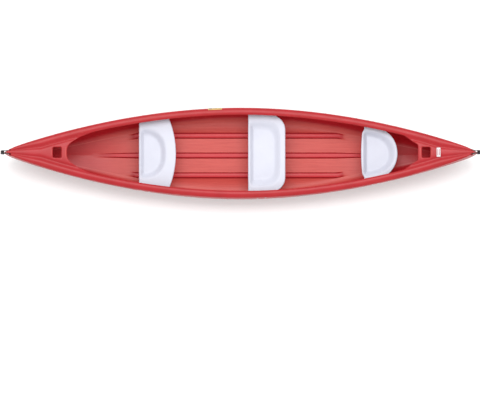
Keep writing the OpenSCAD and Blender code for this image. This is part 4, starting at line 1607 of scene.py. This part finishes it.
# ---------------------------------------------------------------------- studio
@dataclass
class Studio:
    """A plain pale floor, soft lights and a long lens nearly overhead."""

    lens: float = 300.0
    sensor: float = 36.0
    width_seen: float = 5.016
    elevation: float = 86.5
    aim: tuple[float, float, float] = (-0.009, -0.60, 0.40)
    floor_size: float = 400.0
    floor_glow: float = 0.12
    key_place: tuple[float, float, float] = (0.0, 2.4, 9.0)
    key_aim: tuple[float, float, float] = (0.0, 0.0, 0.2)
    key_size: tuple[float, float] = (9.0, 4.0)
    key_power: float = 540.0

    def floor(self) -> None:
        """Lays the floor just below the keel."""
        s, z = self.floor_size / 2 / MM, -1.0
        corners = np.array([[-s, -s, z], [s, -s, z], [s, s, z], [-s, s, z]])
        obj = mesh_object("studio_floor", Shape(corners, [[0, 1, 2, 3]]), closed=False)
        material, g, at, shader = new_material("studio_floor")
        tone = g.blend(g.noise(at, 0.6), (0.86, 0.86, 0.86, 1), (0.9, 0.9, 0.9, 1))
        g.feed(shader.inputs["Base Color"], tone)
        shader.inputs["Roughness"].default_value = 0.45
        shader.inputs["Specular IOR Level"].default_value = 0.25
        shader.inputs["Emission Color"].default_value = (1.0, 1.0, 1.0, 1.0)
        shader.inputs["Emission Strength"].default_value = self.floor_glow
        obj.data.materials.append(material)
        obj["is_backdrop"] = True

    def light(self) -> None:
        """Hangs the soft rectangular key light."""
        data = bpy.data.lights.new("key", "AREA")
        data.shape, data.energy = "RECTANGLE", self.key_power
        data.size, data.size_y = self.key_size
        lamp = bpy.data.objects.new("key", data)
        bpy.context.scene.collection.objects.link(lamp)
        lamp.location = self.key_place
        away = Vector(self.key_aim) - Vector(self.key_place)
        lamp.rotation_euler = away.to_track_quat("-Z", "Y").to_euler()

    def build(self) -> None:
        """Sets the camera, the lights, the surroundings and the floor."""
        data = bpy.data.cameras.new("camera")
        data.lens, data.sensor_width = self.lens, self.sensor
        camera = bpy.data.objects.new("camera", data)
        bpy.context.scene.collection.objects.link(camera)
        tilt = math.radians(self.elevation)
        back = Vector((0.0, -math.cos(tilt), math.sin(tilt)))
        distance = self.width_seen / 2 / (self.sensor / 2 / self.lens)
        camera.location = Vector(self.aim) + back * distance
        camera.rotation_euler = (-back).to_track_quat("-Z", "Y").to_euler()
        data.clip_start, data.clip_end = 1.0, 400.0
        bpy.context.scene.camera = camera
        self.light()
        world = bpy.data.worlds.new("studio")
        world.use_nodes = True
        background = world.node_tree.nodes["Background"]
        background.inputs["Color"].default_value = (1.0, 1.0, 1.0, 1.0)
        background.inputs["Strength"].default_value = 1.0
        bpy.context.scene.world = world
        bpy.context.scene.view_settings.view_transform = "Standard"
        self.floor()


# ------------------------------------------------------------------------ main
RED = MouldedPlastic(
    name="red_polyethylene",
    colour=(0.385, 0.010, 0.016, 1.0),
    mottled=(0.345, 0.008, 0.012, 1.0),
    scuffed=(0.60, 0.098, 0.072, 1.0),
    shaded=(0.17, 0.004, 0.008, 1.0),
    rubbed_and_highlight=(0.52, 0.022, 0.034, 1.0),
    floor_dust=0.75,
    glow=0.055,
)
WHITE = MouldedPlastic(
    name="white_polyethylene",
    colour=(0.57, 0.58, 0.66, 1.0),
    mottled=(0.55, 0.56, 0.64, 1.0),
    scuffed=(0.46, 0.44, 0.48, 1.0),
    roughness=0.30,
    scuffs=0.18,
    edge_wear_and_shade=0.12,
)
BLACK = MouldedPlastic(
    name="black_polyethylene",
    colour=(0.018, 0.018, 0.020, 1.0),
    mottled=(0.028, 0.028, 0.030, 1.0),
    scuffed=(0.10, 0.10, 0.10, 1.0),
    roughness=0.42,
    scuffs=0.3,
    peel=0.8,
)
PLATE_WHITE = MouldedPlastic(
    name="plate_white",
    colour=(0.66, 0.62, 0.63, 1.0),
    mottled=(0.62, 0.58, 0.59, 1.0),
    scuffed=(0.42, 0.38, 0.38, 1.0),
    roughness=0.35,
    scuffs=0.3,
)
STRIPE_INK = PrintedFilm("plate_stripe_ink", (0.40, 0.13, 0.15, 1.0), (0.60, 0.40, 0.40, 1.0))
EMBLEM_PALE = PrintedFilm("emblem_pale_ink", (0.33, 0.15, 0.16, 1.0), (0.40, 0.11, 0.12, 1.0))
EMBLEM_DARK = PrintedFilm("emblem_dark_ink", (0.06, 0.012, 0.015, 1.0), (0.22, 0.03, 0.04, 1.0))
LABEL_YELLOW = PrintedFilm("label_yellow_ink", (0.58, 0.42, 0.15, 1.0), (0.46, 0.24, 0.10, 1.0))
LABEL_BROWN = PrintedFilm("label_brown_ink", (0.16, 0.08, 0.03, 1.0), (0.30, 0.16, 0.06, 1.0))


def dress_node(name: str, material: Material) -> None:
    """Gives a piece that stays as its CAD node a finish."""
    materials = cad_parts[name].data.materials
    materials.clear()
    materials.append(material)


def dress_hidden_hardware(steel: Material) -> None:
    """Gives the washers, nuts and pivot hardware their steel, and shades them flat."""
    for name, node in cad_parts.items():
        if name.endswith(("washers", "nuts", "_nut", "pivot_bolt")):
            dress_node(name, steel)
            faces = node.data.polygons
            faces.foreach_set("use_smooth", np.zeros(len(faces), bool))


def main() -> None:
    """Builds the studio and every sub-assembly in order."""
    logging.basicConfig(level=logging.INFO, format="%(name)s: %(message)s")
    Studio().build()
    build_shared_effects()
    lines = HullLines()
    steel = BrushedSteel().material()
    hull = Hull(lines, RED)
    hull.build()
    for end, inner_angle in (("bow", 20.0), ("stern", 15.5)):
        first, last = (math.cos(math.radians(angle)) for angle in (10.0, inner_angle))
        FoamBlock(lines, CellFoam(), end, first, last).build()
    for kind, reaches in (
        (SeatKind.BOW, (25.0, 109.0)),
        (SeatKind.CENTRE, (99.0, 184.0)),
        (SeatKind.STERN, (121.0, 177.0)),
    ):
        seat = Seat(lines, kind, WHITE)
        seat.build()
        SeatBolts(seat, steel, reaches).build()
    pivot_x = lines.half_length - hull.pivot_setback
    for end, sweep in ((-1, 187.0), (1, 193.0)):
        CarryHandle(end, pivot_x, hull.pivots[end], sweep, BLACK).build()
    PortEmblem(lines).build(EMBLEM_PALE, EMBLEM_DARK)
    StarboardLabel(lines).build(LABEL_YELLOW, LABEL_BROWN)
    DeckPlate(lines, hull).build(PLATE_WHITE, STRIPE_INK, steel)
    dress_hidden_hardware(steel)
    sizes = [[list(corner) for corner in box] for box in (CAD_BOX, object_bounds())]


if __name__ == "__main__":
    main()
